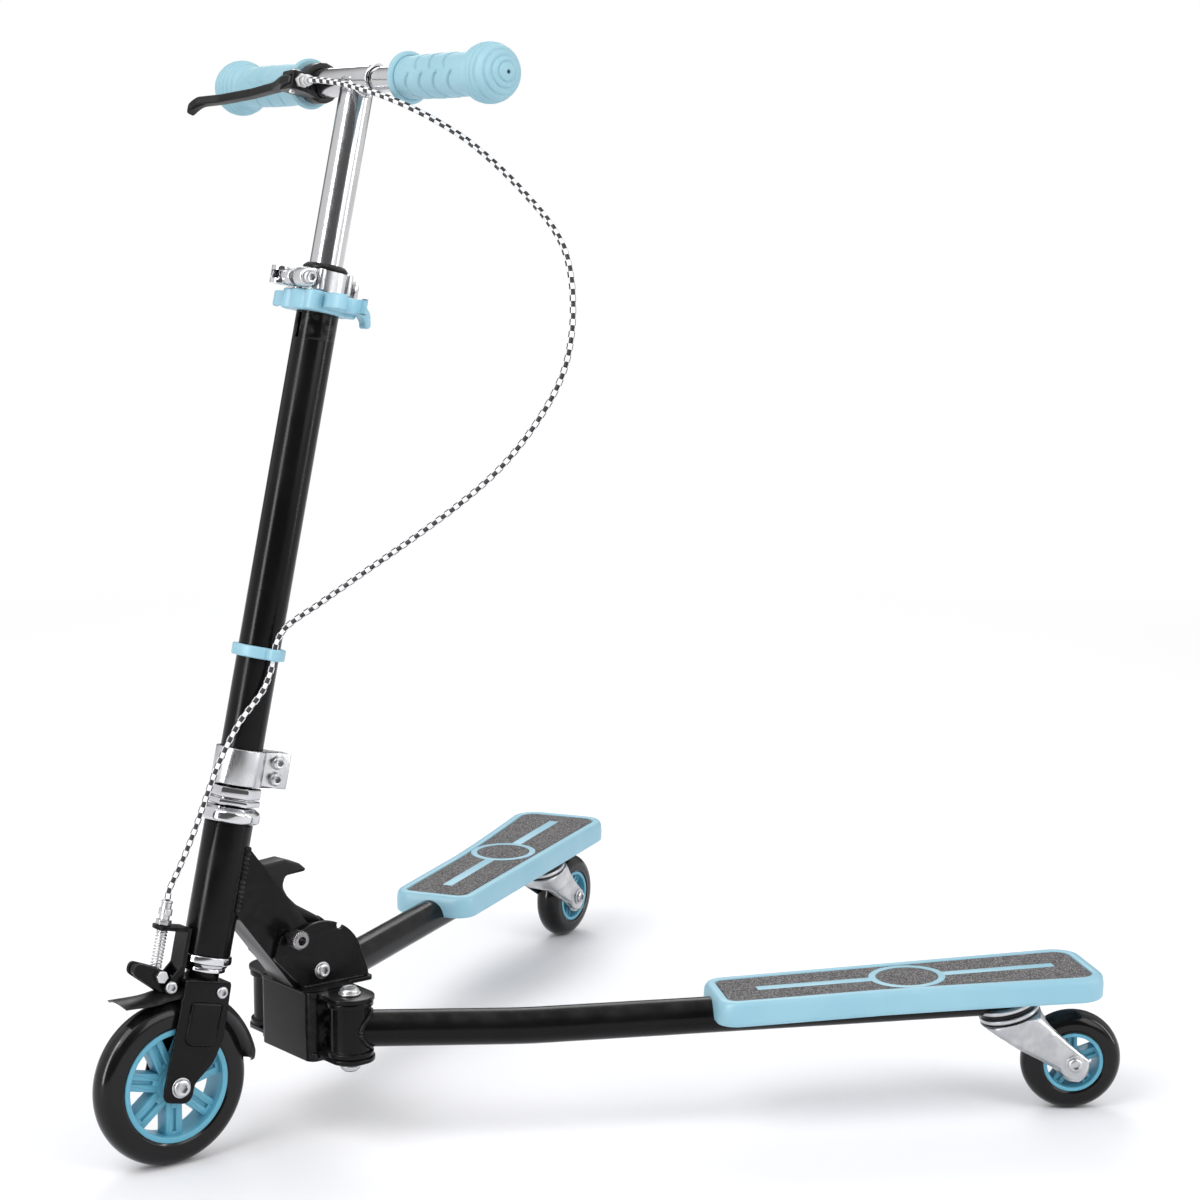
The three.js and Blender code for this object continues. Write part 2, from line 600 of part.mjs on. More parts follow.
function quickBoltPiece() {
  const from = -quickLever.pivotSide + quickLever.pinRadius + runningGap;
  return socketBolt(clampBolt.shankRadius, clampBolt.headRadius, clampBolt.headHeight, from,
    quickCollar.bossTo + runningGap)
    .translate(0, -quickCollar.bossAhead, quickHeight);
}

function quickLeverPiece() {
  const half = quickLever.height / 2;
  const rootAngle = Math.atan2(quickPivot[1], quickPivot[0]) + 2 * Math.PI;
  const inner = quickLever.bandRadius - quickLever.bandWall / 2;
  const outer = inner + quickLever.bandWall;
  const band = plate(outline([
    ...arcCorners([0, 0], outer, quickLever.tipAngle, rootAngle, 14),
    ...arcCorners([0, 0], inner, rootAngle, quickLever.tipAngle, 14),
  ]), quickHeight - half, quickHeight + half);
  const cam = rod(quickLever.camRadius, quickHeight - half, quickHeight + half, 14).translate(...quickPivot,
    0);
  const boltSlot = box([quickPivot[0], quickPivot[0] + quickLever.camRadius + overrun],
    [quickPivot[1] - clampBolt.shankRadius - 2 * runningGap,
    quickPivot[1] + quickLever.camRadius + overrun],
    [quickHeight - clampBolt.shankRadius - runningGap, quickHeight + clampBolt.shankRadius + runningGap]);
  const sweepSlot = box([quickPivot[0] - quickLever.pinRadius,
    quickPivot[0] + quickLever.camRadius + overrun],
    [quickPivot[1] - quickLever.camRadius - overrun, quickPivot[1]],
    [quickHeight - clampBolt.shankRadius - runningGap, quickHeight + clampBolt.shankRadius + runningGap]);
  return cut(join(band, cam), boltSlot, sweepSlot);
}

// Handlebar

function upperBarPiece() {
  const bar = crossRod(upperBar.barRadius, -upperBar.rightEnd, upperBar.leftEnd, 16).translate(0, 0,
    teeHeight);
  const collar = crossRod(upperBar.barRadius + upperBar.ringRise, upperBar.leftEnd - upperBar.ringWidth,
    upperBar.leftEnd, 16)
    .translate(0, 0, teeHeight);
  const stem = rod(upperBar.radius, upperBar.foot, teeHeight, 16);
  const stemBore = rod(upperBar.radius - upperBar.wall, upperBar.foot - overrun,
    teeHeight - upperBar.barRadius, 16);
  const seat = handle.radius + runningGap;
  const deep = handle.insertion + runningGap;
  const leftBore = crossRod(seat, upperBar.leftEnd - deep, upperBar.leftEnd + overrun, 14).translate(0, 0,
    teeHeight);
  const rightBore = crossRod(seat, -upperBar.rightEnd - overrun, -upperBar.rightEnd + deep, 14).translate(0,
    0, teeHeight);
  return cut(join(bar, collar, stem), stemBore, leftBore, rightBore);
}

function handleTubePiece(side) {
  const mouth = side > 0 ? upperBar.leftEnd : upperBar.rightEnd;
  const tube = ring(handle.radius - handle.wall, handle.radius, mouth - handle.insertion, handle.end, 0,
    14);
  return alongX(side > 0 ? tube : tube.rotateX(Math.PI)).translate(0, 0, teeHeight);
}

function gripPiece(side) {
  const bore = handle.radius + grip.boreGap;
  const profile = [[bore, grip.start], [grip.flangeRadius * 0.95, grip.start],
    [grip.flangeRadius, grip.start + grip.flangeWidth / 2],
    [grip.flangeRadius * 0.95, grip.start + grip.flangeWidth]];
  const bulbStart = grip.bulbAt - (grip.end - grip.bulbAt) * 0.55;
  const bodyFrom = grip.start + grip.flangeWidth * 1.8;
  const waveSteps = grip.waves * 2;
  for (let i = 0; i <= waveSteps; i += 1) {
    const share = i / waveSteps;
    const swell = grip.waistRadius + (grip.bodyRadius - grip.waistRadius) * Math.cos((share - 0.5) * Math.PI);
    const ripple = i % 2 === 0 ? grip.waveDepth : 0;
    profile.push([swell - ripple, bodyFrom + (bulbStart - bodyFrom) * share]);
  }
  const nose = grip.end - grip.bulbAt;
  const bulbSteps = grip.ridges * 2;
  for (let i = 1; i <= bulbSteps; i += 1) {
    const angle = (-0.3 + (0.76 * i) / bulbSteps) * Math.PI;
    const ripple = i % 2 === 0 && i < bulbSteps ? grip.ridgeDepth : 0;
    profile.push([(grip.bulbRadius - ripple) * Math.cos(angle), grip.bulbAt + nose * Math.sin(angle)]);
  }
  profile.push([grip.holeRadius, grip.end], [grip.holeRadius, handle.end + runningGap],
    [bore, handle.end + runningGap], [bore, grip.start]);
  const body = turned(profile, 14);
  return alongX(side > 0 ? body : body.rotateX(Math.PI)).translate(0, 0, teeHeight);
}

const leverHeight = teeHeight - leverClamp.drop;

function leverClampPiece() {
  const clampRing = crossRod(leverClamp.outerRadius, -leverClamp.to, -leverClamp.from, 16).translate(0, 0,
    teeHeight);
  const half = leverClamp.height / 2;
  const bodyTo = leverClamp.to;
  const arms = plate(outline([
    [-bodyTo, 0], [-leverClamp.from, 0], [-leverClamp.bodyFrom,
    -brakeLever.pivotAhead + brakeLever.rootRadius, leverClamp.wall],
    [-leverClamp.bodyFrom, -leverClamp.bodyAhead, leverClamp.wall],
    [-bodyTo, -leverClamp.bodyAhead + leverClamp.wall, leverClamp.wall],
  ]), leverHeight - half, leverHeight + half);
  const bore = crossRod(upperBar.barRadius + runningGap, -leverClamp.to - overrun, 0, 16)
    .translate(0, 0, teeHeight);
  const bayRear = -upperBar.barRadius - leverClamp.wall;
  const bay = box([-bodyTo - overrun, -brakeLever.pivotSide + brakeLever.rootRadius + runningGap],
    [-leverClamp.bodyAhead - overrun, bayRear],
    [leverHeight - leverClamp.slotHeight / 2, leverHeight + leverClamp.slotHeight / 2]);
  const pin = rod(brakeLever.pinRadius, leverHeight - half + runningGap, leverHeight + half - runningGap,
    10)
    .translate(-brakeLever.pivotSide, -brakeLever.pivotAhead, 0);
  const wireHole = crossRod(leverAdjuster.bore / 2, -brakeLever.pivotSide, -leverClamp.bodyFrom + overrun,
    10)
    .translate(0, -brakeLever.pivotAhead, leverHeight);
  return join(cut(join(clampRing, arms), bore, bay, wireHole), pin);
}

function leverAdjusterPiece() {
  const from = -leverClamp.bodyFrom + runningGap;
  const body = turned([
    [leverAdjuster.bore, from], [leverAdjuster.nutRadius, from],
    [leverAdjuster.nutRadius, from + leverAdjuster.nutLength],
    [leverAdjuster.radius, from + leverAdjuster.nutLength],
    [leverAdjuster.radius, from + leverAdjuster.length],
    [leverAdjuster.bore, from + leverAdjuster.length], [leverAdjuster.bore, from],
  ], 10);
  return alongX(body).translate(0, -brakeLever.pivotAhead, leverHeight);
}

function brakeLeverPiece() {
  const half = brakeLever.thickness / 2;
  const pivot = [-brakeLever.pivotSide, -brakeLever.pivotAhead];
  const span = brakeLever.tipSide - brakeLever.pivotSide;
  const width = brakeLever.bladeWidth / 2;
  const along = (share, ahead, offset) => [pivot[0] - span * share, -ahead + offset];
  const bend = brakeLever.pivotAhead + (brakeLever.tipAhead - brakeLever.pivotAhead) * 0.2;
  const blade = plate(outline([
    along(-0.02, brakeLever.pivotAhead, width * 0.9), along(0.3, bend, width),
      along(0.62, brakeLever.tipAhead * 0.88, width),
    along(0.93, brakeLever.tipAhead, width * 0.9), [...along(1, brakeLever.tipAhead, width * 0.2),
      width / 2],
    [...along(0.99, brakeLever.tipAhead, -width * 1.2), width / 2],
    along(0.93, brakeLever.tipAhead, -width * 0.7),
    along(0.62, brakeLever.tipAhead * 0.88, -width), along(0.3, bend, -width * 1.1),
      along(-0.02, brakeLever.pivotAhead, -width),
  ]), -half, half);
  const root = rod(brakeLever.rootRadius, -half, half, 10).translate(...pivot, 0);
  const hole = rod(brakeLever.pinRadius + runningGap, -half - overrun, half + overrun,
    10).translate(...pivot, 0);
  const beyond = pivot[0] - leverClamp.to + brakeLever.pivotSide;
  const lever = cut(join(blade, root), hole);
  return drooped(lever, beyond).translate(0, 0, leverHeight);
}

// Lowers a blade in proportion to its distance beyond a point on X.
function drooped(geometry, beyond) {
  const points = geometry.attributes.position;
  for (let i = 0; i < points.count; i += 1) {
    const run = Math.max(0, beyond - points.getX(i));
    points.setZ(i, points.getZ(i) - run * Math.tan(brakeLever.droop));
  }
  return geometry;
}

// Brake

const bracketRear = -brakeBracket.ahead;
const bracketFront = bracketRear - brakeBracket.sheet;
const armPivot = [-brakeArm.pivotAhead, brakeArm.pivotHeight];

function brakeBracketPiece() {
  const half = brakeBracket.halfWidth;
  const foot = fork.crownTop + runningGap;
  const plateBody = box([-half, half], [bracketFront, bracketRear], [foot, brakeBracket.tabTop]);
  const tab = plate(outline([
    [-half, bracketRear], [half, bracketRear], [half * 0.8, -brakeBracket.tabAhead, half * 0.6],
    [-half * 0.8, -brakeBracket.tabAhead, half * 0.6],
  ]), brakeBracket.tabTop - brakeBracket.sheet, brakeBracket.tabTop);
  const earTop = foot + brakeBracket.earRadius;
  const ears = sidePlate(outline([
    [bracketFront + brakeBracket.sheet / 2, earTop + brakeBracket.earRadius],
    [bracketFront + brakeBracket.sheet / 2, foot],
    ...arcCorners(armPivot, brakeBracket.earRadius, -0.1 * Math.PI, -0.95 * Math.PI, 6),
  ]), -half, half);
  const mid = box([-brakeBracket.earInner, brakeBracket.earInner], [-brakeBracket.tabAhead, bracketFront],
    [0, brakeBracket.tabTop - brakeBracket.sheet - runningGap]);
  const under = box([-brakeBracket.earInner, brakeBracket.earInner], [-brakeBracket.tabAhead, 0],
    [0, foot]);
  const hole = rod(lowerAdjuster.bore / 2 + runningGap, brakeBracket.tabTop - 2 * brakeBracket.sheet,
    brakeBracket.tabTop + overrun, 10)
    .translate(0, -brakeSpring.ahead, 0);
  const pin = crossRod(brakeArm.pinRadius, -half, half, 10).translate(0, ...armPivot);
  return join(cut(join(plateBody, tab, ears), mid, under, hole), pin);
}

const armRun = [-brakeArm.noseAhead - armPivot[0], brakeArm.noseHeight - armPivot[1]];
const armRise = brakeArm.anchorRise / Math.hypot(...armRun);
const anchorAt = [
  armPivot[0] + brakeArm.anchorShare * armRun[0] + armRise * armRun[1],
  armPivot[1] + brakeArm.anchorShare * armRun[1] - armRise * armRun[0],
];

function brakeArmPiece() {
  const half = brakeArm.half;
  const depth = brakeArm.depth / 2;
  const padSeat = frontWheel.radius + brakePad.clearance + brakePad.depth + runningGap;
  const tail = [-brakePad.ahead, axleHeight + padSeat + depth];
  const shape = outline([
    [-brakeArm.noseAhead, brakeArm.noseHeight + brakeArm.noseRadius, brakeArm.noseRadius],
    [-brakeArm.noseAhead - brakeArm.noseRadius, brakeArm.noseHeight, brakeArm.noseRadius],
    [-brakeArm.noseAhead, brakeArm.noseHeight - brakeArm.noseRadius, brakeArm.noseRadius],
    [anchorAt[0], anchorAt[1] - brakeArm.depth],
    [armPivot[0], armPivot[1] - brakeArm.depth * 0.8, brakeArm.depth],
    [tail[0] - brakePad.length, tail[1] - depth], [tail[0] + depth, tail[1] - depth],
    [tail[0] + depth, tail[1] + depth * 0.4],
    [-fork.frontReach, crownUnder - 4 * runningGap], [armPivot[0], armPivot[1] + brakeArm.depth * 0.8,
    brakeArm.depth],
    [anchorAt[0] + depth, anchorAt[1] + brakeArm.depth * 0.8],
    [anchorAt[0] - depth, anchorAt[1] + brakeArm.depth * 0.8],
  ]);
  const body = sidePlate(shape, -half, half);
  const hole = crossRod(brakeArm.pinRadius + runningGap, -half - overrun, half + overrun, 10).translate(0,
    ...armPivot);
  const anchorHole = crossRod(anchorBolt.shankRadius + runningGap, -half - overrun, half + overrun, 10)
    .translate(0, ...anchorAt);
  return cut(body, hole, anchorHole);
}

function anchorBoltPiece() {
  return domedBolt(anchorBolt.shankRadius, anchorBolt.headRadius, anchorBolt.headHeight,
    brakeArm.half + runningGap)
    .translate(0, ...anchorAt);
}

function brakePadPiece() {
  const rear = -brakePad.ahead;
  const top = axleHeight + frontWheel.radius + brakePad.clearance + brakePad.depth;
  const padBlock = box([-brakePad.half, brakePad.half], [rear - brakePad.length, rear], [axleHeight, top]);
  const wheelClear = crossRod(frontWheel.radius + brakePad.clearance, -frontWheel.halfWidth,
    frontWheel.halfWidth, 72)
    .translate(0, ...axle);
  const below = box([-frontWheel.halfWidth, frontWheel.halfWidth], [-frontWheel.radius, frontWheel.radius],
    [0, axleHeight + frontWheel.radius - brakePad.depth * 2]);
  return cut(padBlock, wheelClear, below);
}

class Coil extends THREE.Curve {
  constructor(radius, foot, top, curls) {
    super();
    this.radius = radius;
    this.foot = foot;
    this.top = top;
    this.curls = curls;
  }

  getPoint(share, target = new THREE.Vector3()) {
    const turn = share * this.curls * 2 * Math.PI;
    return target.set(this.radius * Math.cos(turn), this.radius * Math.sin(turn),
      this.foot + (this.top - this.foot) * share);
  }
}

// One unbroken tube: rings of the wire's section, square to the coil, with both ends turned up along the
// axis.
function springPiece(foot, top) {
  const wire = brakeSpring.wire;
  const straight = 2 * wire;
  const coil = new Coil(brakeSpring.radius, foot + 2 * straight, top - 2 * straight, brakeSpring.curls);
  const count = brakeSpring.curls * brakeSpring.curlSteps;
  const centres = [];
  for (let i = 0; i <= count; i += 1) centres.push(coil.getPoint(i / count));
  const first = centres[0].clone();
  const last = centres.at(-1).clone();
  const path = [first.clone().setZ(foot), first.clone().setZ(foot + straight), ...centres,
    last.clone().setZ(top - straight), last.clone().setZ(top)];
  const rings = path.map((centre, i) => {
    const ahead = path[Math.min(i + 1, path.length - 1)].clone().sub(path[Math.max(i - 1, 0)]).normalize();
    const outward = new THREE.Vector3(centre.x, centre.y, 0).normalize();
    const third = new THREE.Vector3().crossVectors(ahead, outward).normalize();
    const side = new THREE.Vector3().crossVectors(third, ahead);
    return Array.from({ length: brakeSpring.wireSides }, (_, j) => {
      const angle = (j / brakeSpring.wireSides) * 2 * Math.PI;
      return centre.clone().addScaledVector(side, wire * Math.cos(angle)).addScaledVector(third,
        wire * Math.sin(angle));
    });
  });
  return { geometry: loft(rings), path };
}

function leastGap(path, radius, skip) {
  let least = Infinity;
  path.forEach((a, i) => path.slice(i + skip).forEach((b) => {
    least = Math.min(least, a.distanceTo(b) - 2 * radius);
  }));
  return least;
}

const springFoot = anchorAt[1] + brakeArm.depth * 0.8 + runningGap;
const springTop = brakeBracket.tabTop - brakeBracket.sheet - runningGap;
const spring = springPiece(springFoot, springTop);
console.log('least gap between the spring turns, mm:',
  leastGap(spring.path, brakeSpring.wire, brakeSpring.curlSteps - 1).toFixed(2));
spring.geometry.translate(0, -brakeSpring.ahead, 0);

function lowerAdjusterPiece() {
  const foot = brakeBracket.tabTop + runningGap;
  const body = turned([
    [lowerAdjuster.bore, foot], [lowerAdjuster.nutRadius, foot],
    [lowerAdjuster.nutRadius, foot + lowerAdjuster.nutHeight],
    [lowerAdjuster.barrelRadius, foot + lowerAdjuster.nutHeight],
    [lowerAdjuster.barrelRadius, foot + lowerAdjuster.height * 0.7],
    [lowerAdjuster.barrelRadius * 0.85, foot + lowerAdjuster.height],
    [lowerAdjuster.bore, foot + lowerAdjuster.height],
    [lowerAdjuster.bore, foot],
  ], 10);
  return body.translate(0, -brakeSpring.ahead, 0);
}

// The cable's route in the steering frame, from the lever's adjuster to the brake's adjuster.
const cableStart = [-leverClamp.bodyFrom + leverAdjuster.length + 2 * runningGap, -brakeLever.pivotAhead,
  leverHeight];
const cableEnd = [0, -brakeSpring.ahead, brakeBracket.tabTop + lowerAdjuster.height + 2 * runningGap];
const cableRoute = [
  [-10, -28, 815.5], [22, -25, 812], [74, -12, 801], [114, 24, 782], [158, 57, 746], [192, 70, 713],
  [207, 75.2, 674], [209.6, 76.3, 631], [198.3, 72.2, 595], [172, 62.6, 551], [131.6, 47.9, 509],
  [84, 28, 465], [46, 12, 430], [26, 2.4, 410], [cableClip.eyeReach, 0, cableClip.foot + cableClip.height],
  [cableClip.eyeReach, 0, cableClip.foot], [21.2, -4, 362], [18, -16.5, 338], [13, -27, 299], [8, -33, 253],
  [3.4, -38, 222],
];

function cablePiece() {
  const end = new THREE.Vector3(...cableEnd);
  const lead = cableEnd[2] + 3 * cable.radius;
  const points = [cableStart, ...cableRoute, [0, -brakeSpring.ahead,
    lead]].map((point) => new THREE.Vector3(...point));
  const curve = new THREE.CatmullRomCurve3([...points, end], false, 'centripetal');
  return sweep(curve, cable.radius, cable.steps, cable.sides);
}

// Folding joint and rear frame, in the design frame

const pivot = [fold.pivotRear, fold.pivotHeight];
const notchAngles = [foldPlate.pinAngle, foldPlate.pinAngle - fold.angle];

function aroundPivot(radius, angle) {
  return [pivot[0] + radius * Math.cos(angle), pivot[1] + radius * Math.sin(angle)];
}

function foldPlatePiece(side) {
  const foot = block.top + runningGap;
  const half = lockPin.radius + runningGap;
  const bottom = lockPin.orbit - lockPin.travel - half;
  const body = outline([
    [foldPlate.rearEdge, foot], ...arcCorners(pivot, foldPlate.arc, 0.12 * Math.PI, foldPlate.pinAngle, 14),
    aroundPivot(foldPlate.earRadius, foldPlate.pinAngle + half / foldPlate.earRadius),
    [
      ...aroundPivot(foldPlate.earRadius, foldPlate.pinAngle + (half + foldPlate.tipWidth) / foldPlate.earRadius),
      half,
    ],
    aroundPivot(foldPlate.cornerRadius, foldPlate.cornerAngle),
    [pivot[0] - channel.drop * 0.72, foot],
  ].map(([y, z, round]) => [Math.min(y, foldPlate.rearEdge), z, round]));
  const notches = notchAngles.map((angle) => sidePlate(outline([
    [bottom, -half, half], [foldPlate.earRadius + foldPlate.tipWidth, -half],
    [foldPlate.earRadius + foldPlate.tipWidth, half],
    [bottom, half, half],
  ]), 0, foldPlate.sheet + 2 * overrun).rotateX(angle).translate(-overrun, ...pivot));
  const hole = crossRod(fold.boltRadius + runningGap, -overrun, foldPlate.sheet + overrun, 10).translate(0,
    ...pivot);
  const sheet = cut(sidePlate(body, 0, foldPlate.sheet), ...notches, hole);
  return sheet.translate(side > 0 ? foldPlate.inner : -foldPlate.inner - foldPlate.sheet, 0, 0);
}

const channelReach = steering.footAhead + channel.drop;

function channelPiece() {
  const along = (run, off) => [
    pivot[0] - run * Math.cos(channel.slope) + off * Math.sin(channel.slope),
    pivot[1] + run * Math.sin(channel.slope) + off * Math.cos(channel.slope),
  ];
  const floor = block.top + runningGap;
  const lowerRun = (pivot[1] - floor - channel.drop * Math.cos(channel.slope)) / -Math.sin(channel.slope);
  const rear = -0.03 * Math.PI;
  const outer = outline([
    along(channelReach, channel.rise), along(0, channel.rise),
    ...arcCorners(pivot, channel.endRadius, rear, -Math.PI / 2, 6), along(lowerRun, -channel.drop),
      along(channelReach, -channel.drop),
  ]);
  const inner = outline([
    along(channelReach + overrun, channel.rise + overrun), along(-channelReach / 2, channel.rise + overrun),
    along(-channelReach / 2, -channel.drop + channel.wall),
      along(channelReach + overrun, -channel.drop + channel.wall),
  ]);
  const slot = outline([
    [-lockPin.travel - lockPin.radius - 2 * runningGap, -lockPin.radius - runningGap, lockPin.radius],
    [lockPin.lift + lockPin.radius + 2 * runningGap, -lockPin.radius - runningGap, lockPin.radius],
    [lockPin.lift + lockPin.radius + 2 * runningGap, lockPin.radius + runningGap, lockPin.radius],
    [-lockPin.travel - lockPin.radius - 2 * runningGap, lockPin.radius + runningGap, lockPin.radius],
  ]);
  const half = channel.half;
  const pinSlot = sidePlate(slot, -half - overrun, half + overrun).rotateX(foldPlate.pinAngle).translate(0,
    ...lockPinCentre);
  const hole = crossRod(fold.boltRadius + runningGap, -half - overrun, half + overrun, 10).translate(0,
    ...pivot);
  const tube = rod(headTube.radius + runningGap, headTube.foot - headTube.radius,
    headTube.top + headTube.radius, 20)
    .rotateX(-steering.rake).translate(0, -steering.footAhead, 0);
  const ahead = box([-half - overrun, half + overrun], [-headTube.radius * 4, 0], [0, headTube.top * 1.5])
    .rotateX(-steering.rake).translate(0, -steering.footAhead, 0);
  return cut(sidePlate(outer, -half, half),
    sidePlate(inner, -half + channel.wall, half - channel.wall), pinSlot, hole, tube, ahead);
}

const lockPinCentre = aroundPivot(lockPin.orbit, foldPlate.pinAngle);

function lockPinPiece() {
  const knobLength = lockPin.knobTo - lockPin.knobFrom;
  const pin = turned([
    [0, -lockPin.reach - lockPin.radius], [lockPin.collarRadius, -lockPin.reach - lockPin.radius],
    [lockPin.collarRadius, -lockPin.reach], [lockPin.radius, -lockPin.reach],
    [lockPin.radius, lockPin.knobFrom],
    [lockPin.collarRadius, lockPin.knobFrom], [lockPin.collarRadius, lockPin.knobFrom + knobLength * 0.22],
    [lockPin.knobRadius, lockPin.knobFrom + knobLength * 0.3],
    [lockPin.knobRadius, lockPin.knobTo - knobLength * 0.06],
    [lockPin.knobRadius * 0.93, lockPin.knobTo], [lockPin.socketRadius, lockPin.knobTo],
    [lockPin.socketRadius, lockPin.knobTo - lockPin.socketDepth], [0, lockPin.knobTo - lockPin.socketDepth],
  ], 14);
  return alongX(pin).translate(0, ...lockPinCentre);
}

// Points of the hook from its base over the tip to its foot, as shares of its height, from the lock pin's
// centre.
const hookShares = [
  [-0.32, 0.99], [0.06, 1.02], [0.3, 0.93], [0.4, 0.84], [0.37, 0.81], [0.07, 0.79], [0.02, 0.65],
  [0.1, 0.5], [0.24, 0.36], [0.5, 0.2],
  [0.62, 0.12], [0.6, 0.06], [0.42, 0.08], [0.16, 0.13], [-0.06, 0.3], [-0.14, 0.6],
];

function hookPiece() {
  const shape = outline(hookShares.map(([y, z]) => [lockPinCentre[0] + hook.height * y,
    lockPinCentre[1] + hook.height * z, hook.height / 20]));
  const body = sidePlate(shape, -hook.half, hook.half, 2);
  const eye = crossRod(lockPin.radius * 2, -hook.half, hook.half, 10).translate(0, ...lockPinCentre);
  const stalk = sidePlate(outline([
    [lockPinCentre[0] - lockPin.radius * 2, lockPinCentre[1]],
    [lockPinCentre[0] + lockPin.radius * 2, lockPinCentre[1]],
    [lockPinCentre[0] + hook.height * 0.24, lockPinCentre[1] + hook.height * 0.3],
    [lockPinCentre[0] - hook.height * 0.06, lockPinCentre[1] + hook.height * 0.4],
  ]), -hook.half, hook.half);
  const hole = crossRod(lockPin.radius + runningGap, -hook.half - overrun, hook.half + overrun,
    10).translate(0, ...lockPinCentre);
  return cut(join(body, eye, stalk), hole);
}

function hingeBlockPiece() {
  const front = -block.front;
  const round = block.cornerRound;
  const outer = outline([
    [-block.halfWidth, front, round], [block.halfWidth, front, round],
    [block.halfWidth, front + block.sideDepth], [-block.halfWidth, front + block.sideDepth],
  ]);
  const inner = outline([
    [-block.halfWidth + block.sheet, front + block.sheet, round - block.sheet / 2],
    [block.halfWidth - block.sheet, front + block.sheet, round - block.sheet / 2],
    [block.halfWidth - block.sheet, front + block.sideDepth + overrun],
    [-block.halfWidth + block.sheet, front + block.sideDepth + overrun],
  ]);
  const wall = cut(plate(outer, block.foot, block.top),
    plate(inner, block.foot - overrun, block.top + overrun));
  const covers = [block.top - block.sheet, block.foot + block.lipDrop].map((height) => join(
    ...[1, -1].map((side) => rod(hinge.earRadius, height, height + block.sheet,
      16).translate(side * hinge.armSide, 0, 0)),
    box([-hinge.armSide, hinge.armSide], [front + block.sheet / 2, hinge.earRadius],
      [height, height + block.sheet]),
    box([-block.tongueHalf, block.tongueHalf], [0, block.tongueRear], [height, height + block.sheet]),
  ));
  const holes = [1, -1].map((side) => rod(hinge.boltRadius + runningGap, block.foot - overrun,
    block.top + overrun, 10)
    .translate(side * hinge.armSide, 0, 0));
  return cut(join(wall, ...covers), ...holes);
}

const sleeveFoot = block.foot + block.lipDrop + block.sheet + runningGap;
const sleeveTop = block.top - block.sheet - runningGap;

function hingeBoltPiece() {
  const low = block.foot + block.lipDrop - runningGap;
  const high = block.top + runningGap;
  const top = [[hingeBolt.washerRadius, high], [hingeBolt.washerRadius, high + hingeBolt.washerHeight],
    [hingeBolt.headRadius, high + hingeBolt.washerHeight],
    [hingeBolt.headRadius * 0.82, high + hingeBolt.headHeight * 0.75],
    [hingeBolt.headRadius * 0.45, high + hingeBolt.headHeight]];
  const bottom = [[hingeBolt.headRadius * 0.45, low - hingeBolt.headHeight],
    [hingeBolt.headRadius * 0.82, low - hingeBolt.headHeight * 0.75],
    [hingeBolt.headRadius, low - hingeBolt.washerHeight], [hingeBolt.headRadius, low]];
  return turned([[0, low - hingeBolt.headHeight], ...bottom, [hinge.boltRadius, low],
    [hinge.boltRadius, high], ...top,
    [0, high + hingeBolt.headHeight]], 14);
}

// Arms, in each arm's frame: Y runs along the arm, X is outward times the side

function armHeight(y) {
  if (y < arm.bendAt) return arm.startHeight + (arm.bendHeight - arm.startHeight) * (y / arm.bendAt);
  return arm.bendHeight + (arm.endHeight - arm.bendHeight) * ((y - arm.bendAt) / (arm.end - arm.bendAt));
}

// Rings of a round tube along the arm's bent middle line, between two places on Y.
function armTube(radius, from, to) {
  const half = arm.bendSpan / 2;
  const before = new THREE.Vector3(0, arm.bendAt - half, armHeight(arm.bendAt - half));
  const after = new THREE.Vector3(0, arm.bendAt + half, armHeight(arm.bendAt + half));
  const bend = new THREE.QuadraticBezierCurve3(before, new THREE.Vector3(0, arm.bendAt, arm.bendHeight),
    after);
  const points = [new THREE.Vector3(0, from, armHeight(from)), ...bend.getPoints(3),
    new THREE.Vector3(0, to, armHeight(to))];
  return loft(points.map((point, i) => {
    const ahead = points[Math.min(i + 1, points.length - 1)].clone().sub(points[Math.max(i - 1,
      0)]).normalize();
    const up = new THREE.Vector3(1, 0, 0).cross(ahead);
    return Array.from({ length: arm.sides }, (_, j) => {
      const angle = (-j / arm.sides) * 2 * Math.PI;
      return new THREE.Vector3(radius * Math.cos(angle), point.y, point.z).addScaledVector(up,
        radius * Math.sin(angle));
    });
  }));
}

const swivelTurn = [caster.tilt, 0, 0];
const swivelCentre = [0, caster.at, caster.raceFoot];

function inSwivelFrame(geometry) {
  return geometry.rotateX(caster.tilt).translate(...swivelCentre);
}

function armPiece() {
  const tube = armTube(arm.radius, 0, arm.end);
  const hollow = armTube(arm.radius - arm.wall, hinge.sleeveRadius, arm.end + overrun);
  const sleeve = turned([
    [0, sleeveFoot], [hinge.collarRadius, sleeveFoot],
    [hinge.collarRadius, sleeveFoot + hinge.collarHeight],
    [hinge.sleeveRadius, sleeveFoot + hinge.collarHeight],
    [hinge.sleeveRadius, sleeveTop - hinge.collarHeight],
    [hinge.collarRadius, sleeveTop - hinge.collarHeight], [hinge.collarRadius, sleeveTop], [0, sleeveTop],
  ], 16);
  const mountTop = arm.endHeight + arm.radius * 0.8 - caster.raceFoot;
  const mountFoot = caster.raceHeight + runningGap;
  const mount = inSwivelFrame(rod(caster.hubRadius, mountFoot, mountTop, 16));
  const bore = rod(hinge.boltRadius + runningGap, sleeveFoot - overrun, sleeveTop + overrun, 10);
  const under = inSwivelFrame(rod(caster.raceRadius * 2, -caster.raceHeight, mountFoot, 16));
  const pinHole = inSwivelFrame(rod(caster.kingPin + runningGap, mountFoot - overrun,
    mountTop - caster.dishDepth, 10));
  return cut(join(cut(tube, hollow), sleeve, mount), bore, under, pinHole);
}

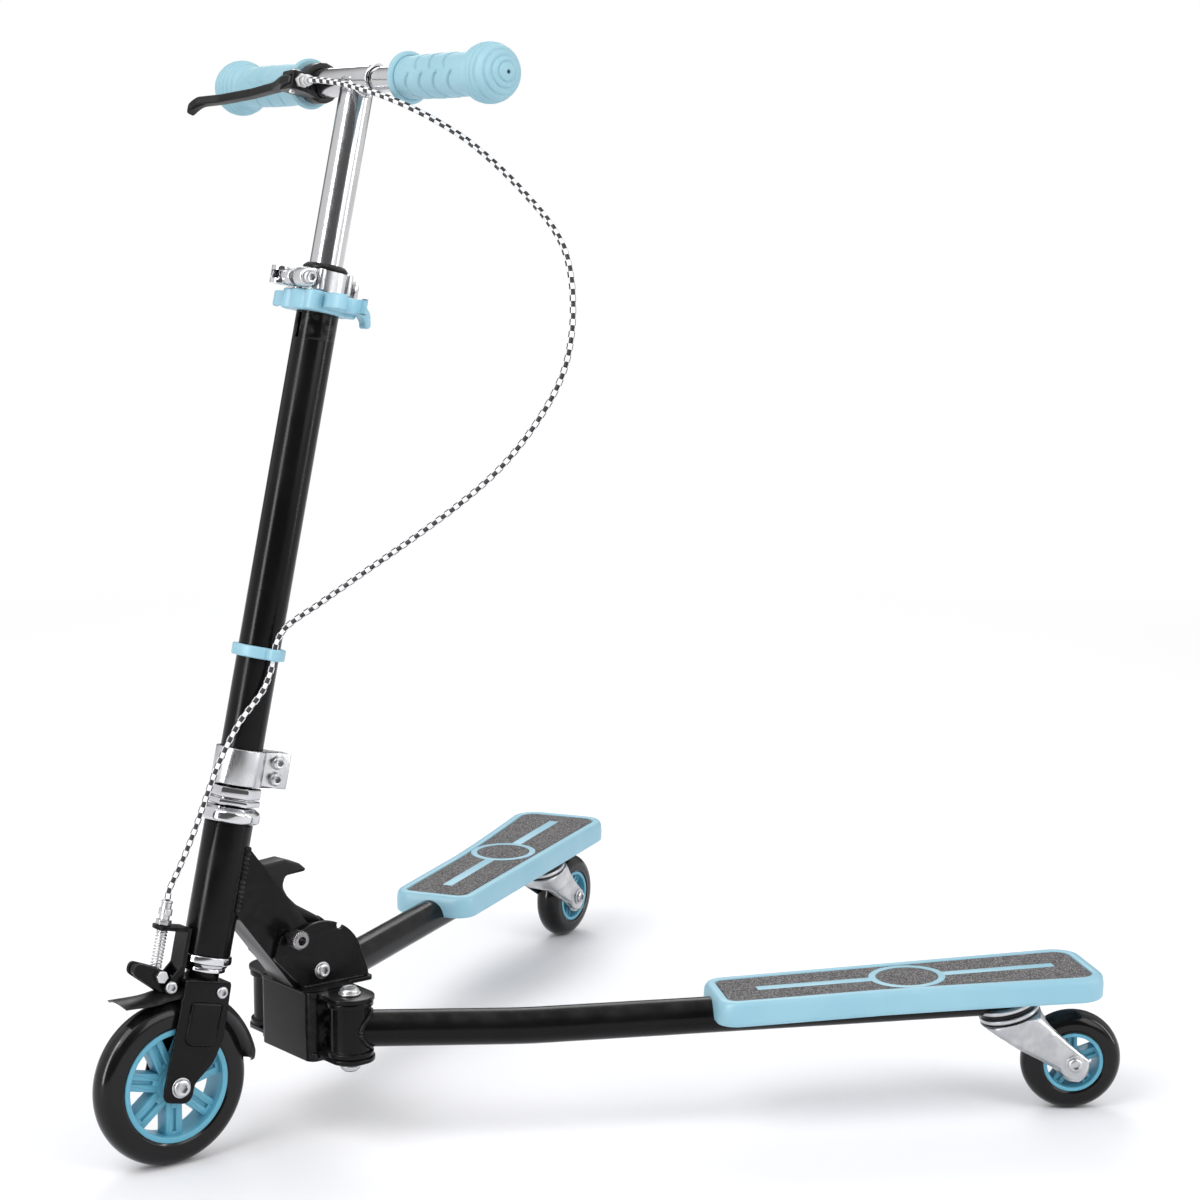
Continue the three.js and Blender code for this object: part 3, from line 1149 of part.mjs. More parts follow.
function deckOutline(side, inset, round) {
  const outerX = (share) => {
    const flare = deck.frontHalf + (deck.rearHalf - deck.frontHalf) * Math.max(0,
      (share - deck.waistShare) / (1 - deck.waistShare)) ** 1.3;
    return flare - inset;
  };
  const innerX = (share) => -(deck.frontHalf + (deck.innerRear - deck.frontHalf) * share - inset);
  const from = deck.start + inset;
  const to = deck.end - inset;
  const run = to - from;
  const outer = [0.3, 0.45, 0.6, 0.75, 0.88].map((share) => [outerX(share), from + run * share]);
  const corners = [
    [innerX(0), from, round * deck.frontRound], [outerX(0), from, round * deck.frontRound], ...outer,
    [outerX(1), to, round * deck.rearRound], [innerX(1), to, round * deck.rearRound],
  ];
  return outline(corners.map(([x, y, r]) => [side * x, y, r]));
}

function sloped(geometry) {
  const points = geometry.attributes.position;
  for (let i = 0; i < points.count; i += 1) {
    points.setZ(i, points.getZ(i) + deck.tapeHeight + deck.slope * (points.getY(i) - deck.tapeStart));
  }
  return geometry;
}

function deckPiece(side) {
  const top = -gripTape.thickness - runningGap;
  const body = join(
    sloped(plate(deckOutline(side, 0, 1), top - deck.skirt, top - deck.chamfer)),
    sloped(plate(deckOutline(side, deck.chamfer * 0.5, 1), top - deck.skirt / 2, top)));
  const hollow = sloped(plate(deckOutline(side, deck.wall, 0.8), top - deck.skirt - overrun,
    top - deck.wall));
  const shell = cut(body, hollow);
  const run = deck.end - deck.start;
  const ribs = [];
  for (let i = 1; i <= deck.ribs; i += 1) {
    const at = deck.start + (run * 0.72 * i) / (deck.ribs + 0.4);
    ribs.push(sloped(box([-deck.frontHalf + deck.wall / 2, deck.frontHalf - deck.wall / 2],
      [at, at + deck.ribWall],
      [top - deck.skirt * 0.7, top - deck.wall / 2])));
  }
  const tubeGap = armTube(arm.radius + runningGap, 0, arm.end + arm.radius);
  const swivel = inSwivelFrame(rod(caster.raceRadius + 2 * runningGap, -caster.raceHeight * 2,
    caster.raceRadius, 16));
  return cut(join(shell, ...ribs), tubeGap, swivel);
}

function gripTapePiece(side) {
  const sheet = sloped(plate(deckOutline(side, gripTape.inset, 0.8), -gripTape.thickness, 0));
  const high = overrun;
  const ringGroove = sloped(ring(gripTape.ringRadius - gripTape.ringWidth, gripTape.ringRadius,
    -gripTape.groove, high, 0, 26)
    .translate(0, gripTape.ringAt, 0));
  const stripes = [[gripTape.stripeFrom, gripTape.ringAt - gripTape.ringRadius + gripTape.ringWidth / 2],
    [gripTape.ringAt + gripTape.ringRadius - gripTape.ringWidth / 2,
    gripTape.stripeTo]].map(([from, to]) => sloped(
    box([-gripTape.stripeHalf, gripTape.stripeHalf], [from, to], [-gripTape.groove, high])));
  return cut(sheet, ringGroove, ...stripes);
}

// Casters, in each swivel frame: Z is the swivel axis, Y trails rearward

const swivelFoot = -caster.topGap;

function racePiece() {
  const top = caster.raceHeight;
  const lip = caster.topGap * 4;
  return turned([
    [0, -caster.drop * 0.1 - lip], [caster.kingPin * 1.7, -caster.drop * 0.1 - lip],
    [caster.kingPin * 1.7, -caster.drop * 0.1],
    [caster.kingPin, -caster.drop * 0.1], [caster.kingPin, 0], [caster.raceRadius - lip * 2, 0],
    [caster.raceRadius, lip],
    [caster.raceRadius, top - lip * 2], [caster.raceRadius - lip * 1.5, top], [caster.kingPin, top],
    [caster.kingPin, top + caster.raceHeight / 2], [0, top + caster.raceHeight / 2],
  ], 16);
}

const casterAxle = [caster.trail, -caster.drop];

// The stamped shell of the fork narrows from the race's circle to the two flat cheeks.
function forkShell(wall) {
  const cheek = caster.innerHalf + caster.sheet;
  const lean = (caster.trail - caster.raceRadius * 0.4) / caster.drop;
  const levels = [0, 0.16, 0.4, 0.7, 1.1];
  const rings = levels.map((share) => {
    const depth = caster.drop * share;
    const ease = (1 - Math.min(1, share)) ** 2.6;
    const half = cheek + (caster.raceRadius + caster.topGap - cheek) * ease - wall;
    const nose = caster.raceRadius + caster.topGap - wall;
    const middle = lean * depth * (0.7 + 0.75 * share);
    return Array.from({ length: 18 }, (_, j) => {
      const angle = (j / 18) * 2 * Math.PI;
      return new THREE.Vector3(half * Math.cos(angle), middle + nose * Math.sin(angle),
        swivelFoot - wall - depth);
    });
  });
  return loft(rings.map((section) => section.slice().reverse()));
}

function casterForkPiece() {
  const cheek = caster.innerHalf + caster.sheet;
  const [axleY, axleZ] = casterAxle;
  const boss = arcCorners(casterAxle, caster.bossRadius, 0.16 * Math.PI, -0.78 * Math.PI, 8);
  const crease = caster.raceRadius * 0.92;
  const cheeks = outline([[crease, swivelFoot], ...boss,
    [caster.raceRadius * 0.5, swivelFoot - caster.drop * 0.5],
    [caster.raceRadius * 0.2, swivelFoot]]);
  const silhouette = outline([
    [-caster.raceRadius * 1.1, swivelFoot], [crease, swivelFoot], [crease * 1.2, axleZ * 1.18],
    [-caster.raceRadius * 0.06, axleZ * 0.76], [-caster.raceRadius * 1.1, swivelFoot - caster.drop * 0.15],
  ]);
  const outer = join(common(forkShell(0), sidePlate(silhouette, -caster.raceRadius * 2,
    caster.raceRadius * 2)),
    sidePlate(cheeks, -cheek, cheek));
  const inner = caster.innerHalf;
  const ceiling = swivelFoot - caster.sheet;
  const bay = sidePlate(outline([
    [caster.raceRadius * 0.1, ceiling], [axleY * 3, ceiling], [axleY * 3, axleZ * 2],
    [0, axleZ * 2], [-caster.raceRadius * 0.02, axleZ * 0.6],
  ]), -inner, inner);
  const hollow = common(forkShell(caster.sheet), sidePlate(outline([
    [-caster.raceRadius * 2, ceiling], [crease - caster.sheet, ceiling], [crease + caster.sheet, axleZ * 2],
    [-caster.raceRadius * 2, axleZ * 2],
  ]), -caster.raceRadius * 2, caster.raceRadius * 2));
  const pinHole = rod(caster.kingPin + runningGap, swivelFoot - caster.drop / 5, overrun, 10);
  const axleHole = crossRod(casterWheel.axleRadius + runningGap, -cheek - overrun, cheek + overrun,
    10).translate(0, axleY, axleZ);
  return cut(outer, bay, hollow, pinHole, axleHole);
}

// Assembly

const casterAxleBolt = { headRadius: 5.4, headHeight: 3 };

function casterGroup(name) {
  const cheek = caster.innerHalf + caster.sheet + runningGap;
  const bolt = domedBolt(casterWheel.axleRadius, casterAxleBolt.headRadius, casterAxleBolt.headHeight,
    cheek)
    .translate(0, ...casterAxle);
  const wheel = groupOf([piece(`${name}_caster_tyre`, tyre(casterWheel), tyreBlack),
    piece(`${name}_caster_hub`, hub(casterWheel), bluePlastic)], [0, ...casterAxle], [-caster.tilt, 0, 0]);
  return groupOf([piece(`${name}_caster_fork`, casterForkPiece(), zinc),
    piece(`${name}_caster_axle`, bolt, chrome), wheel],
    [0, 0, 0], [0, 0, -caster.heading]);
}

function armGroup(side, name) {
  const swivel = groupOf([piece(`${name}_caster_race`, racePiece(), paint), casterGroup(name)],
    swivelCentre, swivelTurn);
  const pieces = [piece(`${name}_arm`, armPiece(), paint),
    piece(`${name}_deck`, deckPiece(side), bluePlastic),
    piece(`${name}_grip_tape`, gripTapePiece(side), gritGrey), swivel];
  return groupOf(pieces, [side * hinge.armSide, 0, 0], [0, 0, -side * arm.splay]);
}

const steeringGroup = groupOf([
  piece('fork', forkPiece(), paint),
  groupOf([piece('front_tyre', tyre(frontWheel), tyreBlack),
    piece('front_hub', hub(frontWheel), bluePlastic)],
    [0, ...axle], [steering.rake, 0, 0]),
  piece('front_axle', domedBolt(frontWheel.axleRadius, axleBolt.headRadius, axleBolt.headHeight,
    fork.innerHalf + fork.sheet + runningGap).translate(0, ...axle), chrome),
  piece('mudguard', mudguardPiece(), blackPlastic),
  piece('head_tube', ring(headTube.radius - headTube.wall, headTube.radius, headTube.foot, headTube.top, 0,
    20), paint),
  piece('headset_lower_cup', lowerCupPiece(), chrome),
  piece('headset_upper_cup', upperCupPiece(), chrome),
  piece('headset_nut', headNutPiece(), chrome),
  piece('clamp_collar', clampCollarPiece(), aluminium),
  piece('clamp_bolt_upper', clampBoltPiece(clampBoltHeights()[0]), zinc),
  piece('clamp_bolt_lower', clampBoltPiece(clampBoltHeights()[1]), zinc),
  piece('lower_tube', lowerTubePiece(), paint),
  piece('cable_clip', cableClipPiece(), bluePlastic),
  piece('handle_holder', holderPiece(), bluePlastic),
  piece('quick_release_collar', quickCollarPiece(), aluminium),
  piece('quick_release_bolt', quickBoltPiece(), zinc),
  piece('quick_release_lever', quickLeverPiece(), chrome),
  piece('tube_bush', ring(upperBar.radius + runningGap, tubeBush.radius, lowerTube.top + runningGap,
    lowerTube.top + tubeBush.height, tubeBush.height / 6, 16), blackPlastic),
  piece('upper_bar', upperBarPiece(), chrome),
  piece('left_handle_tube', handleTubePiece(1), chrome),
  piece('left_grip', gripPiece(1), blueRubber),
  piece('right_handle_tube', handleTubePiece(-1), chrome),
  piece('right_grip', gripPiece(-1), blueRubber),
  piece('lever_clamp', leverClampPiece(), blackPlastic),
  piece('lever_adjuster', leverAdjusterPiece(), zinc),
  piece('brake_lever', brakeLeverPiece(), blackPlastic),
  piece('brake_bracket', brakeBracketPiece(), paint),
  piece('brake_arm', brakeArmPiece(), paint),
  piece('brake_pad', brakePadPiece(), tyreBlack),
  piece('cable_anchor_bolt', anchorBoltPiece(), zinc),
  piece('brake_spring', spring.geometry, chrome),
  piece('cable_adjuster', lowerAdjusterPiece(), zinc),
  piece('brake_cable', cablePiece(), braidGrey),
], [0, -steering.footAhead, 0], [-steering.rake, 0, 0]);

const foldBolt = domedBolt(fold.boltRadius, fold.boltHead, fold.boltHeadHeight,
  foldPlate.inner + foldPlate.sheet + runningGap).translate(0, ...pivot);

const design = groupOf([
  steeringGroup,
  piece('hinge_block', hingeBlockPiece(), paint),
  piece('fold_plate_left', foldPlatePiece(1), paint),
  piece('fold_plate_right', foldPlatePiece(-1), paint),
  piece('fold_pivot_bolt', foldBolt, chrome),
  piece('fold_channel', channelPiece(), paint),
  piece('lock_pin', lockPinPiece(), chrome),
  piece('release_hook', hookPiece(), blackPlastic),
  ...[[1, 'left'], [-1, 'right']].map(([side, name]) => piece(`arm_hinge_bolt_${name}`,
    hingeBoltPiece().translate(side * hinge.armSide, 0, 0), chrome)),
  armGroup(1, 'left'),
  armGroup(-1, 'right'),
]);

// The origin is the middle of the floor under the whole scooter.
const bounds = new THREE.Box3().setFromObject(design, true);
const middle = bounds.getCenter(new THREE.Vector3());
design.position.set(-middle.x, -middle.y, -bounds.min.z);

const scooter = new THREE.Group();
scooter.add(design);

export default scooter;
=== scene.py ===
import json
import math
import bmesh
import bpy
import numpy as np
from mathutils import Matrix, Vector


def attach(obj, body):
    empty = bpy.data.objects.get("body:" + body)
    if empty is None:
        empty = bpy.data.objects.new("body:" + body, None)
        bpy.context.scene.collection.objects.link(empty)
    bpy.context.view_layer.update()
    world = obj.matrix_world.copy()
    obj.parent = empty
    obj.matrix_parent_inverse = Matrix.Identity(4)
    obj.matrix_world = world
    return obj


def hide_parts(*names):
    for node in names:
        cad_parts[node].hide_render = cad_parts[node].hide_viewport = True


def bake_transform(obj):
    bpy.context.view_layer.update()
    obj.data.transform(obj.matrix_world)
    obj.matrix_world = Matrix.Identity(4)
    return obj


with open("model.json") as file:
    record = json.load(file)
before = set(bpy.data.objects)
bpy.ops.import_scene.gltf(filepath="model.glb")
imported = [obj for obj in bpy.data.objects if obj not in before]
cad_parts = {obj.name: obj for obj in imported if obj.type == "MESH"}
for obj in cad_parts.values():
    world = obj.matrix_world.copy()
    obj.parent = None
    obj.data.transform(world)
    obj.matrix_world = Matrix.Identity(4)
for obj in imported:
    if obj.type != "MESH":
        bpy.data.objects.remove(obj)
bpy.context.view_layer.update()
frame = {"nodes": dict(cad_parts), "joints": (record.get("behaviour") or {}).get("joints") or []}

joints = {joint["name"]: joint for joint in frame["joints"]}
toMillimetres = 1000.0  # the joints are in metres, the dictionaries below in millimetres
print("frame loaded:", len(frame["nodes"]), "nodes")


# Frames: an origin and three unit rows, so a local point p stands at origin + p @ rows

def unit(vectors):
    vectors = np.asarray(vectors, float)
    return vectors / np.linalg.norm(vectors, axis=-1, keepdims=True)


def placeOf(joint):
    return np.array(joints[joint]["pos_m"]) * toMillimetres


def frameOf(origin, sideways, upwards):
    x = unit(sideways)
    y = unit(np.cross(upwards, x))
    return np.array(origin, float), np.array([x, y, np.cross(x, y)])


hingeMiddle = 94.0  # height of the arm hinges above the floor
splayReach = placeOf("left_arm_swing")
ground = frameOf([0, splayReach[1], splayReach[2] - hingeMiddle], [1, 0, 0], [0, 0, 1])
column = frameOf(placeOf("steering_turn"), [1, 0, 0], joints["steering_turn"]["axis"])
sides = {"left": 1, "right": -1}


def armFrame(name):
    origin = placeOf(name + "_arm_swing") - [0, 0, hingeMiddle]
    run = placeOf(name + "_caster_swivel") - origin
    along = unit([run[0], run[1], 0])
    return frameOf(origin, np.cross(along, [0, 0, 1]), [0, 0, 1])


def swivelFrame(name):
    return frameOf(placeOf(name + "_caster_swivel"), armFrame(name)[1][0],
        joints[name + "_caster_swivel"]["axis"])


def casterFrame(name):
    joint = joints[name + "_caster_swivel"]
    return frameOf(placeOf(name + "_caster_swivel"), joints[name + "_caster_spin"]["axis"], joint["axis"])


def wheelFrame(joint):
    return frameOf(placeOf(joint), joints[joint]["axis"], [0, 0, 1])


# Surfaces: a shape is a grid of points, rows by columns, joined into quads with closed ends

def skin(grid, around=True, ends=True, looped=False):
    # Quads between neighbouring grid points; around joins the last column to the first, looped the last row
    # to the first.
    rows, columns = grid.shape[:2]
    i, j = np.meshgrid(np.arange(rows if looped else rows - 1),
        np.arange(columns if around else columns - 1), indexing="ij")
    nextRow, nextColumn = (i + 1) % rows, (j + 1) % columns
    corners = [i * columns + j, i * columns + nextColumn, nextRow * columns + nextColumn,
        nextRow * columns + j]
    faces = np.stack(corners, -1).reshape(-1, 4).tolist()
    if ends and not looped:
        faces += [list(range(columns))[::-1], list(range((rows - 1) * columns, rows * columns))]
    return grid.reshape(-1, 3), faces


def moved(part, rows=np.eye(3), by=(0, 0, 0)):
    # Each point p becomes p @ rows + by.
    return part[0] @ np.asarray(rows, float) + np.array(by, float), part[1]


def arc(centre, radius, start, end, steps):
    # Points at equal angles in degrees on a circle.
    angle = np.radians(np.linspace(start, end, steps + 1))
    return np.stack([centre[0] + radius * np.cos(angle), centre[1] + radius * np.sin(angle)], -1)


def rounded(corners, steps=4):
    # Each corner (x, y, radius) becomes the arc that touches both of its sides.
    points = np.array([corner[:2] for corner in corners], float)
    rounds = [corner[2] if len(corner) > 2 else 0 for corner in corners]
    pieces = []
    for point, back, ahead, radius in zip(points, np.roll(points, 1, 0) - points,
            np.roll(points, -1, 0) - points, rounds):
        if not radius:
            pieces.append(point[None])
            continue
        lengths = np.linalg.norm(back), np.linalg.norm(ahead)
        half = 0.5 * math.acos(float(np.clip(back @ ahead / (lengths[0] * lengths[1]), -1, 1)))
        reach = min(radius / math.tan(half), 0.49 * lengths[0], 0.49 * lengths[1])
        centre = point + unit(back / lengths[0] + ahead / lengths[1]) * reach / math.cos(half)
        turn = math.pi - 2 * half
        share = np.linspace(0, 1, steps + 1)[:, None]
        entry, leave = point + back / lengths[0] * reach - centre, point + ahead / lengths[1] * reach - centre
        pieces.append(centre + (np.sin((1 - share) * turn) * entry + np.sin(share * turn) * leave)
            / math.sin(turn))
    return np.concatenate(pieces)


def runAlong(path):
    # the length from the first point to each point
    return np.concatenate([[0], np.cumsum(np.linalg.norm(np.diff(path, axis=0), axis=1))])


def joinedPath(*stretches):
    return np.concatenate([np.atleast_2d(np.asarray(stretch, float)) for stretch in stretches])


def inset(outline, by):
    # Each point moves inwards along the mean of its two edges' normals, further at sharp corners.
    before, after = unit(outline - np.roll(outline, 1, 0)), unit(np.roll(outline, -1, 0) - outline)
    area = np.sum(outline[:, 0] * np.roll(outline[:, 1], -1) - outline[:, 1] * np.roll(outline[:, 0], -1))
    turn = math.copysign(1, area)
    normals = unit(before + after + 1e-9)[:, ::-1] * [-turn, turn]
    spread = np.clip(np.sum(normals * (before[:, ::-1] * [-turn, turn]), -1), 0.55, 1)
    return outline + normals * (by / spread)[:, None]


def slab(outline, low, high, bevel=0.6, steps=3):
    # An outline carried upwards; at both faces it draws in by bevel * (1 - sin) as it climbs by
    # bevel * (1 - cos).
    outline = np.asarray(outline, float)
    angle = np.linspace(0, math.pi / 2, steps + 1)
    draws = np.concatenate([bevel * (1 - np.sin(angle)), bevel * (1 - np.sin(angle[::-1]))])
    climbs = np.concatenate([low + bevel * (1 - np.cos(angle)), high - bevel * (1 - np.cos(angle[::-1]))])
    rings = [np.column_stack([inset(outline, draw), np.full(len(outline), climb)])
        for draw, climb in zip(draws, climbs)]
    return skin(np.array(rings))


def turned(profile, around=64, ripple=None):
    # A profile of (radius, height) turned about Z; ripple(angle, row) is added to the radius.
    profile = np.asarray(profile, float)
    angle = np.linspace(0, 2 * math.pi, around, endpoint=False)
    radius = profile[:, :1] + np.zeros((1, around))
    if ripple is not None:
        radius = radius + ripple(angle[None, :], np.arange(len(profile))[:, None])
    grid = np.stack([radius * np.cos(angle), radius * np.sin(angle),
        profile[:, 1:] + np.zeros((1, around))], -1)
    onAxis = profile[0, 0] == 0 and profile[-1, 0] == 0
    return skin(grid, ends=False, looped=not onAxis)


def lathe(corners, steps=4, around=64, ripple=None):
    return turned(rounded(corners, steps), around, ripple)


def ringOf(inner, outer, low, high, bevel=0.6, around=64):
    return lathe([(inner, low), (outer, low, bevel), (outer, high, bevel), (inner, high)], 4, around)


def disc(radius, low, high, bevel=0.6, around=48):
    return lathe([(0, low), (radius, low, bevel), (radius, high, bevel), (0, high)], 4, around)


def roundedBox(low, high, radius=0, steps=4):
    return rounded([(*low, radius), (high[0], low[1], radius), (*high, radius),
        (low[0], high[1], radius)], steps)


def tube(path, radius, around=24, reference=(0, 0, 1)):
    # A circle carried square to a path: path + radius * (cos * side + sin * up).
    path = np.asarray(path, float)
    ahead = unit(np.gradient(path, axis=0))
    side = unit(np.cross(ahead, reference))
    up = np.cross(side, ahead)
    angle = np.linspace(0, 2 * math.pi, around, endpoint=False)[None, :, None]
    radius = np.broadcast_to(np.asarray(radius, float), len(path))[:, None, None]
    return skin(path[:, None] + radius * (np.cos(angle) * side[:, None] + np.sin(angle) * up[:, None]))


def curveThrough(points, steps):
    # A smooth curve through points: each span blends its four nearest points by the square root of their
    # distances.
    points = np.asarray(points, float)
    points = np.concatenate([2 * points[:1] - points[1:2], points, 2 * points[-1:] - points[-2:-1]])
    knots = np.concatenate([[0], np.cumsum(np.sqrt(np.linalg.norm(np.diff(points, axis=0), axis=1)))])
    spans = []
    for i in range(1, len(points) - 2):
        t = np.linspace(knots[i], knots[i + 1], steps, endpoint=False)[:, None]
        near, at = points[i - 1:i + 3], knots[i - 1:i + 3]
        for width in (1, 2, 3):
            near = [((at[k + width] - t) * near[k] + (t - at[k]) * near[k + 1]) / (at[k + width] - at[k])
                for k in range(4 - width)]
        spans.append(near[0])
    return np.concatenate(spans + [points[-2:-1]])


alongX = np.array([[0, 1, 0], [0, 0, 1], [1, 0, 0]], float)  # Z of the shape runs along X, X along Y


def plate(outline, low, high, bevel=0.6, steps=3):
    # a slab whose outline is drawn in Y and Z and whose thickness runs along X
    return moved(slab(outline, low, high, bevel, steps), alongX)


def turnAboutZ(angle):
    return [[math.cos(angle), math.sin(angle), 0], [-math.sin(angle), math.cos(angle), 0], [0, 0, 1]]


def addPiece(name, parts, body, finishName, place, replaced=(), crease=38, uv=None):
    # Joins parts of one material into a mesh in metres, with closed poles, faces outwards and edges over
    # crease degrees sharp.
    origin, rows = place
    points, faces, start = [], [], 0
    for part in parts:
        points.append(part[0])
        faces += [[corner + start for corner in face] for face in part[1]]
        start += len(part[0])
    mesh = bpy.data.meshes.new(name)
    mesh.from_pydata(((origin + np.concatenate(points) @ rows) / toMillimetres).tolist(), [], faces)
    if uv is not None:
        layer = mesh.uv_layers.new(name="UVMap")
        corners = np.empty(len(mesh.loops), np.int32)
        mesh.loops.foreach_get("vertex_index", corners)
        layer.data.foreach_set("uv", uv[corners].astype(np.float32).ravel())
    work = bmesh.new()
    work.from_mesh(mesh)
    bmesh.ops.remove_doubles(work, verts=work.verts, dist=2e-6)
    bmesh.ops.recalc_face_normals(work, faces=work.faces)
    work.to_mesh(mesh)
    work.free()
    mesh.shade_smooth()
    mesh.set_sharp_from_angle(angle=math.radians(crease))
    piece = bpy.data.objects.new(name, mesh)
    bpy.context.scene.collection.objects.link(piece)
    mesh.materials.append(finishOf(finishName))
    if body:
        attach(piece, body)
    if replaced:
        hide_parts(*replaced)
    return piece


# Shader node groups, each built once

def newGroup(name, inputs, outputs):
    tree = bpy.data.node_groups.new(name, "ShaderNodeTree")
    for label, kind, value in inputs:
        socket = tree.interface.new_socket(name=label, in_out="INPUT", socket_type="NodeSocket" + kind)
        socket.default_value = value
    for label, kind in outputs:
        tree.interface.new_socket(name=label, in_out="OUTPUT", socket_type="NodeSocket" + kind)
    return tree, tree.nodes.new("NodeGroupInput"), tree.nodes.new("NodeGroupOutput")


def node(tree, kind, settings=(), **values):
    made = tree.nodes.new("ShaderNode" + kind)
    for key, value in dict(settings).items():
        setattr(made, key, value)
    for key, value in values.items():
        made.inputs[key.replace("_", " ")].default_value = value
    return made


def maths(tree, operation, first, second=0.0, clamp=False):
    made = node(tree, "Math", {"operation": operation, "use_clamp": clamp})
    for slot, value in zip(made.inputs, (first, second)):
        if isinstance(value, (int, float)):
            slot.default_value = value
        else:
            tree.links.new(value, slot)
    return made.outputs[0]


def mixColour(tree, factor, first, second):
    made = node(tree, "Mix", {"data_type": "RGBA"})
    for slot, value in zip((made.inputs[0], made.inputs[6], made.inputs[7]), (factor, first, second)):
        tree.links.new(value, slot)
    return made.outputs[2]


def objectNoise(tree, scale, detail=2.0, stretch=None):
    made = node(tree, "TexNoise", Detail=detail)
    place = node(tree, "TexCoord").outputs["Object"]
    if stretch is not None:
        mapping = node(tree, "Mapping")
        tree.links.new(place, mapping.inputs["Vector"])
        tree.links.new(stretch, mapping.inputs["Scale"])
        place = mapping.outputs["Vector"]
    tree.links.new(place, made.inputs["Vector"])
    if isinstance(scale, (int, float)):
        made.inputs["Scale"].default_value = scale
    else:
        tree.links.new(scale, made.inputs["Scale"])
    return made.outputs["Fac"]


def ramp(tree, value, low, high, toLow=0.0, toHigh=1.0):
    made = node(tree, "MapRange", {"interpolation_type": "SMOOTHSTEP"}, From_Min=low, From_Max=high,
        To_Min=toLow, To_Max=toHigh)
    tree.links.new(value, made.inputs["Value"])
    return made.outputs["Result"]


def buildMottledGrain():
    # cloudy change of colour and gloss, and a fine moulded or sprayed grain as height
    tree, given, result = newGroup("mottledGrain",
        [("Colour", "Color", (0.5, 0.5, 0.5, 1)), ("Second Colour", "Color", (0.4, 0.4, 0.4, 1)),
        ("Mottle Scale", "Float", 30.0), ("Grain Scale", "Float", 1500.0), ("Roughness", "Float", 0.4),
        ("Roughness Spread", "Float", 0.1)],
        [("Colour", "Color"), ("Roughness", "Float"), ("Height", "Float")])
    cloud = ramp(tree, objectNoise(tree, given.outputs["Mottle Scale"], 4.0), 0.3, 0.7)
    tree.links.new(mixColour(tree, cloud, given.outputs["Colour"], given.outputs["Second Colour"]),
        result.inputs["Colour"])
    spread = maths(tree, "MULTIPLY", maths(tree, "SUBTRACT", cloud, 0.5), given.outputs["Roughness Spread"])
    tree.links.new(maths(tree, "ADD", given.outputs["Roughness"], spread, True), result.inputs["Roughness"])
    tree.links.new(objectNoise(tree, given.outputs["Grain Scale"], 3.0), result.inputs["Height"])
    return tree


def buildEdgeWear():
    # bright where the surface is sharply convex, broken up by noise
    tree, given, result = newGroup("edgeWear", [("Amount", "Float", 0.5), ("Scale", "Float", 120.0)],
        [("Mask", "Float")])
    sharp = ramp(tree, node(tree, "NewGeometry").outputs["Pointiness"], 0.52, 0.6)
    broken = ramp(tree, objectNoise(tree, given.outputs["Scale"], 5.0), 0.42, 0.62)
    tree.links.new(maths(tree, "MULTIPLY", maths(tree, "MULTIPLY", sharp, broken),
        given.outputs["Amount"], True), result.inputs["Mask"])
    return tree


def buildDrawnStreaks():
    # noise drawn out along one direction, as lines left by drawing, turning or brushing
    tree, given, result = newGroup("drawnStreaks",
        [("Stretch", "Vector", (1, 1, 0.02)), ("Scale", "Float", 900.0)], [("Value", "Float")])
    tree.links.new(objectNoise(tree, given.outputs["Scale"], 4.0, given.outputs["Stretch"]),
        result.inputs["Value"])
    return tree


def buildSettledDust():
    # more on what faces up, in soft patches
    tree, given, result = newGroup("settledDust", [("Amount", "Float", 0.1), ("Scale", "Float", 60.0)],
        [("Mask", "Float")])
    split = node(tree, "SeparateXYZ")
    tree.links.new(node(tree, "NewGeometry").outputs["Normal"], split.inputs[0])
    upward = ramp(tree, split.outputs["Z"], 0.2, 0.95)
    patches = ramp(tree, objectNoise(tree, given.outputs["Scale"], 6.0), 0.35, 0.75)
    tree.links.new(maths(tree, "MULTIPLY", maths(tree, "MULTIPLY", upward, patches),
        given.outputs["Amount"], True), result.inputs["Mask"])
    return tree


def buildGritSheet():
    # grains as cells, each with its own grey, a few of them bright
    tree, given, result = newGroup("gritSheet",
        [("Grain Scale", "Float", 1500.0), ("Dark", "Color", (0.05, 0.05, 0.05, 1)),
        ("Light", "Color", (0.3, 0.3, 0.3, 1))], [("Colour", "Color"), ("Height", "Float")])
    cells = node(tree, "TexVoronoi")
    tree.links.new(node(tree, "TexCoord").outputs["Object"], cells.inputs["Vector"])
    tree.links.new(given.outputs["Grain Scale"], cells.inputs["Scale"])
    grey = node(tree, "SeparateColor")
    tree.links.new(cells.outputs["Color"], grey.inputs[0])
    bright = maths(tree, "POWER", grey.outputs[0], 2.2)
    tree.links.new(mixColour(tree, bright, given.outputs["Dark"], given.outputs["Light"]),
        result.inputs["Colour"])
    tree.links.new(maths(tree, "SUBTRACT", grey.outputs[1], cells.outputs["Distance"]),
        result.inputs["Height"])
    return tree


